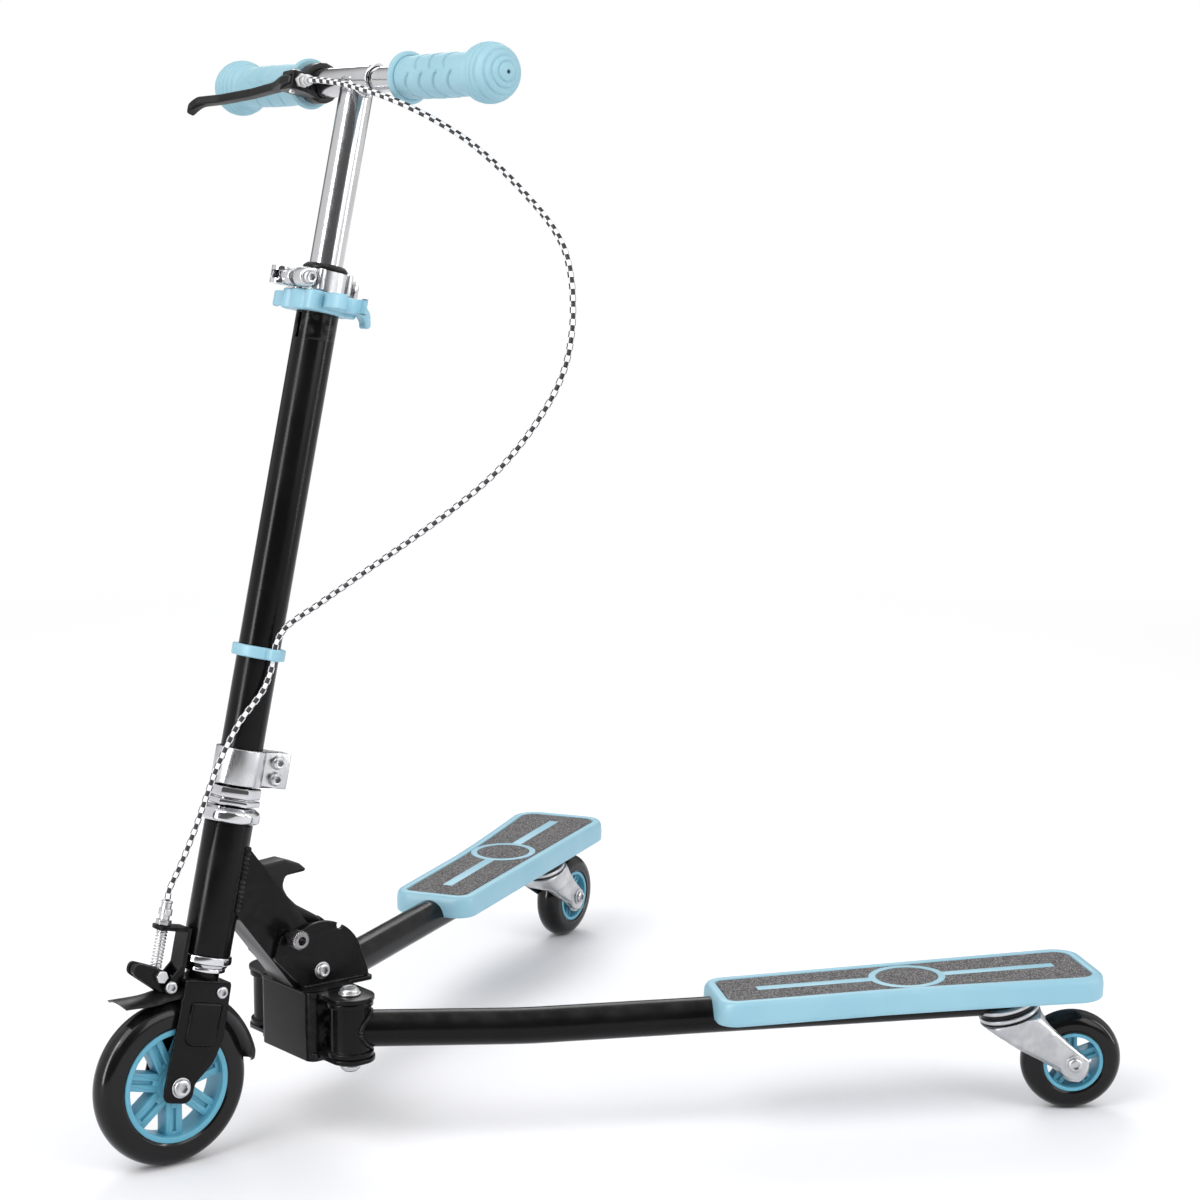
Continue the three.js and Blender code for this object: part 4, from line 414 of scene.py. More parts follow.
def buildBraidedSleeve():
    # a chequer on the UV map: U goes round in sectors, V along in dashes, with crossing threads as height
    tree, given, result = newGroup("braidedSleeve",
        [("Sectors", "Float", 2.0), ("Threads", "Float", 24.0)], [("Mask", "Float"), ("Height", "Float")])
    split = node(tree, "SeparateXYZ")
    tree.links.new(node(tree, "UVMap").outputs["UV"], split.inputs[0])
    around = maths(tree, "MULTIPLY", split.outputs["X"], given.outputs["Sectors"])
    sector = maths(tree, "FLOOR", maths(tree, "MULTIPLY", around, 2.0))
    dash = maths(tree, "FLOOR", maths(tree, "MULTIPLY", split.outputs["Y"], 2.0))
    tree.links.new(maths(tree, "FLOORED_MODULO", maths(tree, "ADD", sector, dash), 2.0),
        result.inputs["Mask"])
    winding = maths(tree, "MULTIPLY", split.outputs["X"], given.outputs["Threads"])
    lay = maths(tree, "MULTIPLY", split.outputs["Y"], 8.0)
    threads = [maths(tree, "SINE", maths(tree, "MULTIPLY", maths(tree, way, winding, lay), 3.1416))
        for way in ("ADD", "SUBTRACT")]
    tree.links.new(maths(tree, "MULTIPLY", *threads), result.inputs["Height"])
    return tree


groups = {tree.name: tree for tree in (buildMottledGrain(), buildEdgeWear(), buildDrawnStreaks(),
    buildSettledDust(), buildGritSheet(), buildBraidedSleeve())}


def placeGroup(tree, name, **values):
    made = tree.nodes.new("ShaderNodeGroup")
    made.node_tree = groups[name]
    for key, value in values.items():
        made.inputs[key.replace("_", " ")].default_value = value
    return made


def screen(red, green, blue):
    # a colour as a screen shows it, 0 to 255, turned to linear light
    values = np.array([red, green, blue]) / 255
    linear = np.where(values < 0.04045, values / 12.92, ((values + 0.055) / 1.055) ** 2.4)
    return (*[float(value) for value in linear], 1.0)


# Finishes; colours are as on a screen, grain and mottle per metre, bump in metres

finishes = {
    "satinPaint": {"slot": "black_paint", "colour": (13, 12, 13), "second": (17, 16, 17),
        "roughness": 0.22, "specular": 0.14, "spread": 0.1, "mottle": 26, "grain": 2600, "bump": 0.00002,
        "wear": 0.25, "worn": (120, 118, 118), "dust": 0.03},
    "blackPlastic": {"slot": "black_plastic", "colour": (15, 14, 15), "second": (22, 21, 22),
        "roughness": 0.38, "specular": 0.22, "spread": 0.12, "mottle": 40, "grain": 1900, "bump": 0.00004,
        "wear": 0.12, "worn": (90, 90, 92), "dust": 0.04},
    "chromeTube": {"slot": "polished_tube", "colour": (206, 206, 208), "second": (192, 192, 195),
        "roughness": 0.16, "spread": 0.06, "mottle": 22, "grain": 2200, "bump": 0.000004, "metallic": 1.0,
        "stretch": (1, 1, 0.02), "streak": 0.12},
    "chrome": {"slot": "chrome", "colour": (214, 214, 216), "second": (198, 198, 202), "roughness": 0.1,
        "spread": 0.05, "mottle": 60, "grain": 2400, "bump": 0.000004, "metallic": 1.0},
    "brushedAluminium": {"slot": "aluminium", "colour": (206, 206, 208), "second": (186, 187, 190),
        "roughness": 0.3, "spread": 0.1, "mottle": 70, "grain": 2600, "bump": 0.00001, "metallic": 1.0,
        "stretch": (1, 1, 0.05), "streak": 0.2},
    "zincPlate": {"slot": "zinc_steel", "colour": (204, 204, 204), "second": (184, 185, 188),
        "roughness": 0.36, "spread": 0.1, "mottle": 90, "grain": 1500, "bump": 0.00001, "metallic": 1.0,
        "dust": 0.03},
    "darkSteel": {"slot": "zinc_steel", "colour": (148, 146, 148), "second": (120, 118, 120),
        "roughness": 0.3, "spread": 0.1, "mottle": 90, "grain": 1500, "bump": 0.00001, "metallic": 1.0,
        "dust": 0.03},
    "lightBluePlastic": {"slot": "blue_plastic", "colour": (146, 192, 209), "second": (139, 187, 205),
        "roughness": 0.4, "spread": 0.08, "mottle": 18, "grain": 1600, "bump": 0.00003, "wear": 0.1,
        "worn": (200, 232, 242), "dust": 0.04},
    "lightBlueRubber": {"slot": "blue_rubber", "colour": (150, 190, 203), "second": (141, 184, 198),
        "roughness": 0.55, "spread": 0.08, "mottle": 30, "grain": 1400, "bump": 0.00004, "dust": 0.05},
    "hubBlue": {"slot": "blue_plastic", "colour": (96, 168, 192), "second": (88, 160, 185),
        "roughness": 0.36, "spread": 0.08, "mottle": 30, "grain": 1600, "bump": 0.00002},
    "castPolyurethane": {"slot": "tyre", "colour": (13, 12, 13), "second": (17, 16, 17),
        "roughness": 0.17, "specular": 0.22, "spread": 0.08, "mottle": 45, "grain": 700, "bump": 0.00002,
        "coat": 0.1, "dust": 0.03},
    "brakeRubber": {"slot": "brake_rubber", "colour": (30, 30, 30), "second": (38, 38, 38),
        "roughness": 0.75, "spread": 0.1, "mottle": 60, "grain": 1200, "bump": 0.00005},
    "gritTape": {"slot": "grip_tape", "colour": (52, 50, 51), "second": (150, 148, 149),
        "roughness": 0.85, "spread": 0.1, "mottle": 30, "grain": 1250, "bump": 0.00022,
        "pattern": "grit"},
    "braid": {"slot": "braid", "colour": (238, 238, 240), "second": (26, 26, 30), "roughness": 0.45,
        "spread": 0.1, "mottle": 60, "grain": 2000, "bump": 0.00006, "pattern": "braid"},
}
dustColour = (190, 186, 180)


def finishOf(name):
    # a material made once from its dictionary: mottled colour, then pattern, streaks, worn edges and dust
    if name + "Finish" in bpy.data.materials:
        return bpy.data.materials[name + "Finish"]
    values = finishes[name]
    material = bpy.data.materials.new(name + "Finish")
    material.use_nodes = True
    tree = material.node_tree
    paints = {key: screen(*values[key]) for key in ("colour", "second", "worn") if key in values}
    surface = tree.nodes["Principled BSDF"]
    surface.inputs["Metallic"].default_value = values.get("metallic", 0.0)
    surface.inputs["Specular IOR Level"].default_value = values.get("specular", 0.5)
    surface.inputs["Coat Weight"].default_value = values.get("coat", 0.0)
    surface.inputs["Coat Roughness"].default_value = 0.05
    grain = placeGroup(tree, "mottledGrain", Colour=paints["colour"], Second_Colour=paints["second"],
        Mottle_Scale=values["mottle"], Grain_Scale=values["grain"], Roughness=values["roughness"],
        Roughness_Spread=values["spread"])
    colour, roughness, height = (grain.outputs[label] for label in ("Colour", "Roughness", "Height"))
    if values.get("pattern") == "grit":
        grit = placeGroup(tree, "gritSheet", Grain_Scale=values["grain"], Dark=paints["colour"],
            Light=paints["second"])
        colour, height = grit.outputs["Colour"], grit.outputs["Height"]
    if values.get("pattern") == "braid":
        sleeve = placeGroup(tree, "braidedSleeve")
        pale, dark = node(tree, "RGB"), node(tree, "RGB")
        pale.outputs[0].default_value, dark.outputs[0].default_value = paints["colour"], paints["second"]
        colour = mixColour(tree, sleeve.outputs["Mask"], pale.outputs[0], dark.outputs[0])
        height = sleeve.outputs["Height"]
    if "streak" in values:
        lines = placeGroup(tree, "drawnStreaks", Stretch=values["stretch"])
        swing = maths(tree, "SUBTRACT", lines.outputs["Value"], 0.5)
        shift = maths(tree, "MULTIPLY", swing, values["streak"])
        roughness = maths(tree, "ADD", roughness, shift, True)
    covers = (("wear", "edgeWear", paints.get("worn")), ("dust", "settledDust", screen(*dustColour)))
    for key, group, cover in covers:
        if key not in values:
            continue
        mask = placeGroup(tree, group, Amount=values[key])
        paint = node(tree, "RGB")
        paint.outputs[0].default_value = cover
        colour = mixColour(tree, mask.outputs["Mask"], colour, paint.outputs[0])
    bump = node(tree, "Bump", Strength=1.0, Distance=values["bump"])
    tree.links.new(height, bump.inputs["Height"])
    tree.links.new(colour, surface.inputs["Base Color"])
    tree.links.new(roughness, surface.inputs["Roughness"])
    tree.links.new(bump.outputs["Normal"], surface.inputs["Normal"])
    return material


print("finishes ready:", len(finishes))


# Small parts that several pieces use

def screwHead(radius, height, socket=0.52, depth=0.75, around=48):
    # a domed head with a six-sided socket: the socket's rows get the radius of a hexagon
    inner, floor = radius * socket, height * (1 - depth)
    profile = [(0, floor), (inner, floor), (inner, height * 0.96), (inner * 1.08, height),
        (radius * 0.72, height)]
    profile += [(radius * math.cos(a), height * (0.45 + 0.55 * math.sin(a)))
        for a in np.radians([52, 36, 18, 0])]
    profile += [(radius, 0), (0, 0)]

    def hexagon(angle, row):
        sector = np.mod(angle, math.pi / 3) - math.pi / 6
        return np.where((row > 0) & (row < 4), inner * (0.87 / np.cos(sector) - 1) * (row < 3), 0)
    return turned(profile, around, hexagon)


def hexNut(across, low, high, bevel=0.7):
    # six corners at across / sqrt(3) from the middle
    corners = arc([0, 0], across / math.sqrt(3), 0, 300, 5)
    return slab(rounded([(*corner, 0.5) for corner in corners], 2), low, high, bevel)


def turnedAlongX(part, at=(0, 0, 0), flip=False):
    # what was made upright points along +X, or along -X when flipped
    rows = alongX * ([[-1], [1], [-1]] if flip else [[1], [1], [1]])
    return moved(part, rows, at)


def crossTube(radius, low, high, at=(0, 0), around=48, bevel=0.5):
    return turnedAlongX(disc(radius, low, high, bevel, around), (0, *at))


def bothSides(part, reach, at):
    # one copy on each side, pointing outwards
    return [turnedAlongX(part, (sign * reach, *at), sign < 0) for sign in (1, -1)]


def weldBead(path, radius=1.5, ripple=0.22, pitch=2.4):
    # a tube whose radius swells once for every drop of weld
    path = np.asarray(path, float)
    run = runAlong(path)
    return tube(path, radius * (1 + ripple * np.abs(np.sin(math.pi * run / pitch))), 12, (0.3, 0.2, 0.93))


# Wheels, about X with the axle at the origin

wheels = {
    "front_wheel_spin": {"prefix": "front", "body": "front_wheel", "radius": 62.5, "half": 12,
        "hub": 43.6, "rim": 4.4, "boss": 14.5, "bore": 4.3, "spokes": 7, "first": 12, "spokeHalf": 6.9,
        "slotHalf": 1.5, "web": 6.8, "drop": 2.6},
    "left_caster_spin": {"prefix": "left_caster", "body": "left_caster_wheel", "radius": 40, "half": 12,
        "hub": 23.9, "rim": 3, "boss": 9.6, "bore": 3.8, "spokes": 5, "first": 20, "spokeHalf": 4.4,
        "slotHalf": 1.2, "web": 6.8, "drop": 2.4},
}
wheels["right_caster_spin"] = {**wheels["left_caster_spin"], "prefix": "right_caster",
    "body": "right_caster_wheel", "first": 48}


def tyreShape(size):
    # the crown is a half circle whose cosine is raised to 0.8, over flanks with a small step to the hub
    side, shoulder, seat = size["half"], size["radius"] - size["half"], size["hub"] + 0.3
    angle = np.radians(np.linspace(-90, 90, 33))
    crown = np.stack([shoulder + side * np.cos(angle) ** 0.8, side * np.sin(angle)], -1)
    flank = rounded([(seat, -side + 1.6), (seat, -side + 0.9), (seat + 1.6, -side - 0.1, 0.8),
        (shoulder - 2, -side)], 3)
    return turned(joinedPath(flank, crown, flank[::-1] * [1, -1]), 112)


def hubParts(size):
    # rim and boss rings joined by spokes, each of two ribs on a thinner web
    half, rim, web = size["half"] - 0.5, size["hub"] - size["rim"], size["web"]
    boss, collar = size["boss"], (size["boss"] * 0.62, size["boss"] * 0.66)
    ring = lathe([(rim, -half, 0.7), (size["hub"], -half, 0.5), (size["hub"], half, 0.5),
        (rim, half, 0.7)], 3, 112)
    nave = lathe([(size["bore"], -half), (collar[0], -half, 0.5), (collar[1], -web, 0.5),
        (boss, -web, 1.2), (boss, web, 1.2), (collar[1], web, 0.5), (collar[0], half, 0.5),
        (size["bore"], half)], 3)
    parts = [ring, nave]
    near, far = boss - 1.5, rim + 0.8
    edge, slot = size["spokeHalf"], size["slotHalf"]
    length = far - near
    for i in range(size["spokes"]):
        spoke = [slab(roundedBox((near, -edge * 0.9), (far, edge * 0.9)), -web + size["drop"],
            web - size["drop"], 0.5)]
        for low, high in ((slot, edge), (-edge, -slot)):
            spoke.append(slab(roundedBox((near, low), (far, high), 0.5, 2), -web, web, 0.8))
        for start, end in ((near, near + 0.2 * length), (far - 0.14 * length, far)):
            spoke.append(slab(roundedBox((start, -slot - 0.6), (end, slot + 0.6)), -web, web, 0.4))
        rows = turnAboutZ(math.radians(size["first"]) + 2 * math.pi * i / size["spokes"])
        parts += [moved(part, rows) for part in spoke]
    return parts


def bearingShields(size):
    # a thin ring in the mouth of the boss on each side
    lows = (size["half"] - 0.7, -size["half"] - 0.5)
    return [ringOf(size["bore"], size["boss"] * 0.6, low, low + 1.2, 0.3, 40) for low in lows]


for joint, size in wheels.items():
    prefix, body, place = size["prefix"], size["body"], wheelFrame(joint)
    addPiece(prefix + "_tyre_cast", [turnedAlongX(tyreShape(size))], body, "castPolyurethane", place,
        [prefix + "_tyre"])
    hub = [turnedAlongX(part) for part in hubParts(size)]
    addPiece(prefix + "_hub_moulded", hub, body, "hubBlue", place, [prefix + "_hub"])
    shields = [turnedAlongX(part) for part in bearingShields(size)]
    addPiece(prefix + "_bearing_shields", shields, body, "zincPlate", place)
print("wheels done")


# Fork, front axle and mudguard, in the column's frame

axleAt = (placeOf("front_wheel_spin") - column[0]) @ column[1].T
fork = {"inner": 13.8, "sheet": 2.8, "crownTop": 142, "front": 22.4, "rear": 16.7, "boss": 12,
    "neck": (12.5, 80), "shoulder": (18, 98.3), "pad": (-15.2, 10, 93, 126), "padRise": 2.4,
    "steerer": 12.5, "steererTop": 330}
axleBolt = {"shank": 3.9, "head": 6.8, "height": 3.6, "washer": 7.8, "thin": 1.2}


def forkParts():
    # two flat legs under a folded crown, with a pressed pad proud of each leg, and the steerer
    outer, size = fork["inner"] + fork["sheet"], fork["boss"]
    y, z = axleAt[1], axleAt[2]
    leg = rounded([(-fork["front"], fork["crownTop"], 3), (y - size - 1, z - size * 0.2, 14),
        (y - size * 0.96, z - size * 1.02, size * 0.96), (y + size * 0.98, z - size * 1.02, size * 0.96),
        (y + size, z + 3, 10), (*fork["neck"], 14), (*fork["shoulder"], 12),
        (fork["rear"], fork["crownTop"], 3)], 10)
    parts = [plate(leg, low, low + fork["sheet"], 0.8) for low in (fork["inner"], -outer)]
    crown = roundedBox((-outer, -fork["front"]), (outer, fork["rear"]), 2)
    parts.append(slab(crown, fork["crownTop"] - fork["sheet"], fork["crownTop"], 1.3))
    front, rear, foot, top = fork["pad"]
    pad = rounded([(front, foot, 5), (rear, foot, 5), (rear + 1.5, top, 3), (front, top, 3)], 6)
    for low in (outer - 1, -outer - fork["padRise"]):
        parts.append(plate(pad, low, low + fork["padRise"] + 1, 2.3, 6))
    parts.append(disc(fork["steerer"], fork["crownTop"] - 1, fork["steererTop"], 0.5))
    return parts


addPiece("fork_pressed", forkParts(), "steering", "satinPaint", column, ["fork"])
side = fork["inner"] + fork["sheet"]
washers = bothSides(disc(axleBolt["washer"], 0, axleBolt["thin"], 0.4), side + 0.1, axleAt[1:])
heads = bothSides(screwHead(axleBolt["head"], axleBolt["height"]), side + axleBolt["thin"], axleAt[1:])
axleParts = [crossTube(axleBolt["shank"], -side, side, axleAt[1:]), *washers, *heads]
addPiece("front_axle_bolt", axleParts, "steering", "zincPlate", column, ["front_axle"])
guardScrew = {"radius": 4.6, "height": 2.6, "at": (9.3, 134)}
guardScrews = bothSides(screwHead(guardScrew["radius"], guardScrew["height"]), side + 0.05, guardScrew["at"])
addPiece("mudguard_screws", guardScrews, "steering", "zincPlate", column)

mudguard = {"inner": 66.5, "wall": 2.2, "rise": 3.4, "half": 13.4, "rear": 17, "front": 119, "lip": 16,
    "lipRise": 11.5}


def mudguardShape():
    # rings across the sheet, outer side then inner, swung about the axle; past the front the radius climbs
    size = mudguard
    across = np.linspace(-1, 1, 17)
    angle = np.radians(np.linspace(size["rear"], size["front"] + size["lip"], 72))[:, None]
    past = np.clip((angle - math.radians(size["front"] - 6)) / math.radians(size["lip"] + 6), 0, 1)
    point = np.clip((angle - math.radians(size["rear"])) / math.radians(9), 0, 1) ** 0.5 * 0.55 + 0.45
    radius = size["inner"] + size["rise"] * (1 - across ** 2) + size["lipRise"] * past ** 1.8
    half = across * size["half"] * point

    def sheet(side, reach):
        return np.stack([side, reach * np.cos(angle) + axleAt[1], reach * np.sin(angle) + axleAt[2]], -1)

    outer, inner = sheet(half, radius + size["wall"]), sheet(half * 0.97, radius)
    return skin(np.concatenate([outer, inner[:, ::-1]], 1))


addPiece("mudguard_moulded", [mudguardShape()], "steering", "blackPlastic", column, ["mudguard"])


# Head: cups, tube, nuts

head = {"tube": 18.3, "wall": 2.5, "foot": 160.3, "top": 259.7, "cup": 20, "cupFoot": 151, "cupTop": 160,
    "flange": 22.5, "upperTop": 273, "nutAcross": 35}
lowerCup = lathe([(fork["steerer"] + 0.3, head["cupFoot"]), (17, head["cupFoot"], 1), (18.4, 153.6, 1.2),
    (head["cup"], 154.4, 1), (head["cup"], head["cupTop"] - 0.4, 1), (19, head["cupTop"]),
    (fork["steerer"] + 0.3, head["cupTop"])], 4, 72)
addPiece("headset_lower_cup_turned", [lowerCup, ringOf(13, 16.4, 147.6, 150.8, 0.8)], "front_frame",
    "chrome", column, ["headset_lower_cup"])
headTube = ringOf(head["tube"] - head["wall"], head["tube"], head["foot"], head["top"], 0.6, 80)
addPiece("head_tube_round", [headTube], "front_frame", "satinPaint", column, ["head_tube"])
upperCup = lathe([(12.8, 260), (18.8, 260, 0.8), (head["flange"], 261.6, 3.2), (head["flange"], 269, 3.6),
    (17.6, 272, 2.4), (12.8, head["upperTop"] - 0.2)], 9, 96)
addPiece("headset_upper_cup_turned", [upperCup], "front_frame", "chrome", column, ["headset_upper_cup"])
nutParts = [hexNut(head["nutAcross"] * 1.02, 273.4, 278, 1.3), ringOf(12.9, 15.8, 277.6, 279, 0.3),
    hexNut(head["nutAcross"], 278.8, 287.6, 2.2)]
addPiece("headset_nuts", nutParts, "steering", "chrome", column, ["headset_nut"])
print("fork and head done")


# Column tubes: a full ring, then an open ring above the slit's foot

lowerTube = {"radius": 15.9, "wall": 1.6, "foot": 290, "slotFoot": 625, "slotTop": 644, "slotHalf": 3,
    "slitHalf": 0.8, "top": 677}


def openRing(radius, wall, low, high, gapHalf):
    # an arc band round the axis that leaves a gap at the front, carried upwards
    gap = math.degrees(math.asin(gapHalf / radius))
    outer = arc([0, 0], radius, -90 + gap, 270 - gap, 88)
    inner = arc([0, 0], radius - wall, 270 - gap, -90 + gap, 88)
    return slab(joinedPath(outer, inner), low, high, 0.1, 1)


def columnParts(radius, wall, foot, slotFoot, slotTop, slotHalf, slitHalf, top):
    # a full ring, then a band open by the slot, then one open by the slit
    return [ringOf(radius - wall, radius, foot, slotFoot, 0.1, 88),
        openRing(radius, wall, slotFoot, slotTop, slotHalf),
        openRing(radius, wall, slotTop, top, slitHalf)]


addPiece("lower_tube_round", columnParts(**lowerTube), "steering", "satinPaint", column, ["lower_tube"])
bush = lathe([(12.8, 677.3), (14.6, 677.3), (16.8, 677.6, 0.6), (17, 679.4, 0.9), (14.2, 682, 1),
    (12.8, 682)], 3, 72)
addPiece("tube_bush_moulded", [bush], "steering", "blackPlastic", column, ["tube_bush"])

handlebar = {"stem": 12.5, "foot": 537, "tee": 821.7, "bar": 11.1, "left": 27, "right": 62, "bore": 9.9,
    "wall": 1.5}


def handlebarParts():
    # the stem under a crossbar with open ends, and the weld where the stem's circle meets the bar's underside
    tee, bar, bore, radius, foot = (handlebar[key] for key in ("tee", "bar", "bore", "stem", "foot"))
    left, right, inner = handlebar["left"], handlebar["right"], radius - handlebar["wall"]
    stem = turned([(inner, foot), (radius, foot), (radius, tee - 3), (inner, tee - 3)], 88)
    crossbar = lathe([(0, -right + 30), (bore, -right + 30), (bore, -right + 0.3, 0.3),
        (bar, -right, 0.5), (bar, left - 4), (bar + 0.9, left - 3.2, 0.5), (bar + 0.9, left, 0.6),
        (bore, left, 0.3), (bore, left - 30), (0, left - 30)], 4, 88)
    bead = np.radians(np.linspace(0, 360, 120))
    rise = np.sqrt(np.maximum(bar ** 2 - (radius * np.sin(bead)) ** 2, 0))
    joint = np.stack([radius * np.cos(bead) * 1.02, radius * np.sin(bead) * 0.86, tee - rise - 0.4], -1)
    return [stem, turnedAlongX(crossbar, (0, 0, tee)), weldBead(joint[:-1], 1.3, 0.3)]


addPiece("upper_bar_drawn", handlebarParts(), "upper_bar", "chromeTube", column, ["upper_bar"])
for name, sign in sides.items():
    mouth = handlebar["left"] if sign > 0 else handlebar["right"]
    shape = ringOf(8, 9.5, mouth - 29, 178, 0.4, 56)
    addPiece(name + "_handle_tube_drawn", [turnedAlongX(shape, (0, 0, handlebar["tee"]), sign < 0)],
        name + "_handle", "chromeTube", column, [name + "_handle_tube"])


# Grips: a turned body whose radius sinks along staggered curved grooves, and a ridged round end

grip = {"start": 64, "end": 187, "flange": 19.4, "body": 16.2, "waist": 15.3, "bulb": 21.7, "bulbAt": 165,
    "hole": 1.7, "groove": 1.5, "rows": 4, "pitch": 17.5, "bow": 7.5, "sectors": 4, "ridge": 1.25,
    "ridgesAt": (-34, -23, -12, -1, 10, 21, 42, 57, 70)}


def gripShape():
    # body radius is a low arch; each groove sinks by exp(-(distance / width) squared) behind a curved edge
    size = grip
    run = np.linspace(size["start"] + 7.5, size["bulbAt"] - 14.5, 132)
    share = (run - run[0]) / (run[-1] - run[0])
    waist = size["waist"] + (size["body"] - size["waist"]) * np.sin(share * math.pi)
    flange = rounded([(9.8, size["start"]), (17.5, size["start"], 0.8),
        (size["flange"], size["start"] + 1.6, 1.4), (size["flange"] - 0.4, size["start"] + 3.6, 1.6),
        (16.6, size["start"] + 5.8, 1.4)], 6)
    swing = np.radians(np.linspace(-44, 86, 150))
    nose = size["end"] - size["bulbAt"]
    ridges = size["ridge"] * sum(np.exp(-((np.degrees(swing) - at) / 2.6) ** 2) for at in size["ridgesAt"])
    rise = (nose - ridges * (swing > 0.4)) * np.sin(swing)
    bulb = np.stack([(size["bulb"] - ridges) * np.cos(swing), size["bulbAt"] + rise], -1)
    neck = rounded([(waist[-1], run[-1]), (waist[-1] + 0.4, run[-1] + 1.4, 1.5),
        (bulb[0, 0] - 1.4, bulb[0, 1] - 1.2, 1.5), tuple(bulb[0])], 5)[1:-1]
    close = [(size["hole"], size["end"]), (size["hole"], size["end"] - 4), (9.8, size["end"] - 8.6)]
    profile = joinedPath(flange, np.stack([waist, run], -1), neck, bulb, close)
    first, last = len(flange), len(flange) + len(run)

    def scales(angle, row):
        inside = (row >= first) & (row < last)
        at = run[np.clip(row - first, 0, len(run) - 1)]
        sector = 2 * math.pi / size["sectors"]
        index = np.floor(angle / sector)
        offset = (angle / sector - index - 0.5) * 2
        bow = size["bow"] * (1 - np.cos(offset * 1.35))
        phase = at - run[0] - 9 - size["pitch"] * 0.5 * np.mod(index, 2) - bow
        behind = np.mod(phase, size["pitch"])
        count = np.floor(phase / size["pitch"])
        valid = (count >= 0) & (count < size["rows"] - np.mod(index, 2)) & inside
        fade = np.clip((1 - np.abs(offset)) * 6, 0, 1)
        depth = np.exp(-((behind - 1) / 0.9) ** 2) + 0.45 * np.exp(-behind / 5)
        return -1.0 * valid * fade * size["groove"] * depth
    return turned(profile, 144, scales)


for name, sign in sides.items():
    addPiece(name + "_grip_moulded", [turnedAlongX(gripShape(), (0, 0, handlebar["tee"]), sign < 0)],
        name + "_handle", "lightBlueRubber", column, [name + "_grip"], 60)
print("column and grips done")


# Handle holder, quick release, clamp and clip

holder = {"radius": 22.4, "foot": 645.5, "top": 660.7, "lobeReach": 21.4, "lobe": 7.2, "claw": 36,
    "clawRadius": 15.4, "gripRadius": 11.3, "mouth": 8.4, "clawFoot": 648, "clawTop": 659.6}


def clawOutline(sign):
    # a round claw open outwards; each lip is a small round between its outer and inner arc
    mouth, middle = holder["mouth"], 0.5 * (holder["clawRadius"] + holder["gripRadius"])
    gap = math.degrees(math.asin(mouth / middle))
    thick = 0.5 * (holder["clawRadius"] - holder["gripRadius"])
    outer = arc([0, 0], holder["clawRadius"], gap, 360 - gap, 60)
    inner = arc([0, 0], holder["gripRadius"], 360 - gap, gap, 50)
    lipAt = middle * math.cos(math.radians(gap))
    low = arc([lipAt, -mouth], thick, -gap, 180 - gap, 8)[1:-1]
    high = arc([lipAt, mouth], thick, gap + 180, gap, 8)[1:-1]
    return joinedPath(outer, low, inner, high) * [sign, 1] + [sign * holder["claw"], 0]


def holderParts():
    # the body's radius is the furthest of a circle and four lobes, seen from the axis
    angle = np.linspace(0, 2 * math.pi, 181)[:-1]
    reach = np.full_like(angle, holder["radius"])
    for at in np.radians([45, 135, 225, 315]):
        off = np.mod(angle - at + math.pi, 2 * math.pi) - math.pi
        side = holder["lobeReach"] * np.sin(off)
        room = holder["lobe"] ** 2 - side ** 2
        far = holder["lobeReach"] * np.cos(off) + np.sqrt(np.maximum(room, 0))
        reach = np.where((room > 0) & (np.abs(off) < 1), np.maximum(reach, far), reach)
    outline = np.stack([reach * np.cos(angle), reach * np.sin(angle)], -1)
    parts = [slab(outline, holder["foot"], holder["top"], 1.8, 5)]
    for sign in (1, -1):
        parts.append(slab(clawOutline(sign), holder["clawFoot"], holder["clawTop"], 1.3, 4))
        neck = rounded([(14, -11), (27, -9, 4), (27, 9, 4), (14, 11)], 4) * [sign, 1]
        parts.append(slab(neck, holder["clawFoot"] + 0.5, holder["clawTop"] - 0.5, 1))
        # the hook hangs from the claw's root, rearward and down
        hook = rounded([(2, 10.5, 1), (12, 11, 5), (19, 4, 8), (21.5, -6, 3), (17, -8.5, 2.4),
            (15.6, -3, 5), (11, 1.5, 5), (3, 1, 2)], 7)
        parts.append(moved(plate(hook, -5, 5, 1.4, 4), by=(sign * 25, 8, holder["foot"] + 2)))
    return parts


addPiece("handle_holder_moulded", holderParts(), "steering", "lightBluePlastic", column, ["handle_holder"])

quick = {"radius": 19.3, "inner": 16.2, "foot": 661, "top": 676.7, "height": 668.85, "bolt": 22.5,
    "ear": 27, "ribs": (38, 142, 218, 322)}


def quickParts():
    # a slit band with four round ribs, two ears in front and a boss on each of them
    foot, top, reach, ear = quick["foot"], quick["top"], quick["radius"], quick["ear"]
    parts = [openRing(reach, reach - quick["inner"], foot, top, 2.4)]
    for turn in np.radians(quick["ribs"]):
        rib = disc(3.1, foot + 0.2, top + 0.6, 0.9, 24)
        parts.append(moved(rib, turnAboutZ(turn), (reach * math.cos(turn), reach * math.sin(turn), 0)))
    outline = rounded([(-15.5, foot + 1.4, 1), (-ear, foot + 1.4, 6), (-ear, top - 1.4, 6),
        (-15.5, top - 1.4, 1)], 8)
    parts += [plate(outline, low, high, 1) for low, high in ((4, 13), (-13, -4))]
    for radius, low, high, bevel in ((7.4, 3.5, 15, 1.2), (6.4, -15, -3.5, 1)):
        parts.append(turnedAlongX(ringOf(2.8, radius, low, high, bevel, 48),
            (0, -quick["bolt"], quick["height"])))
    return parts


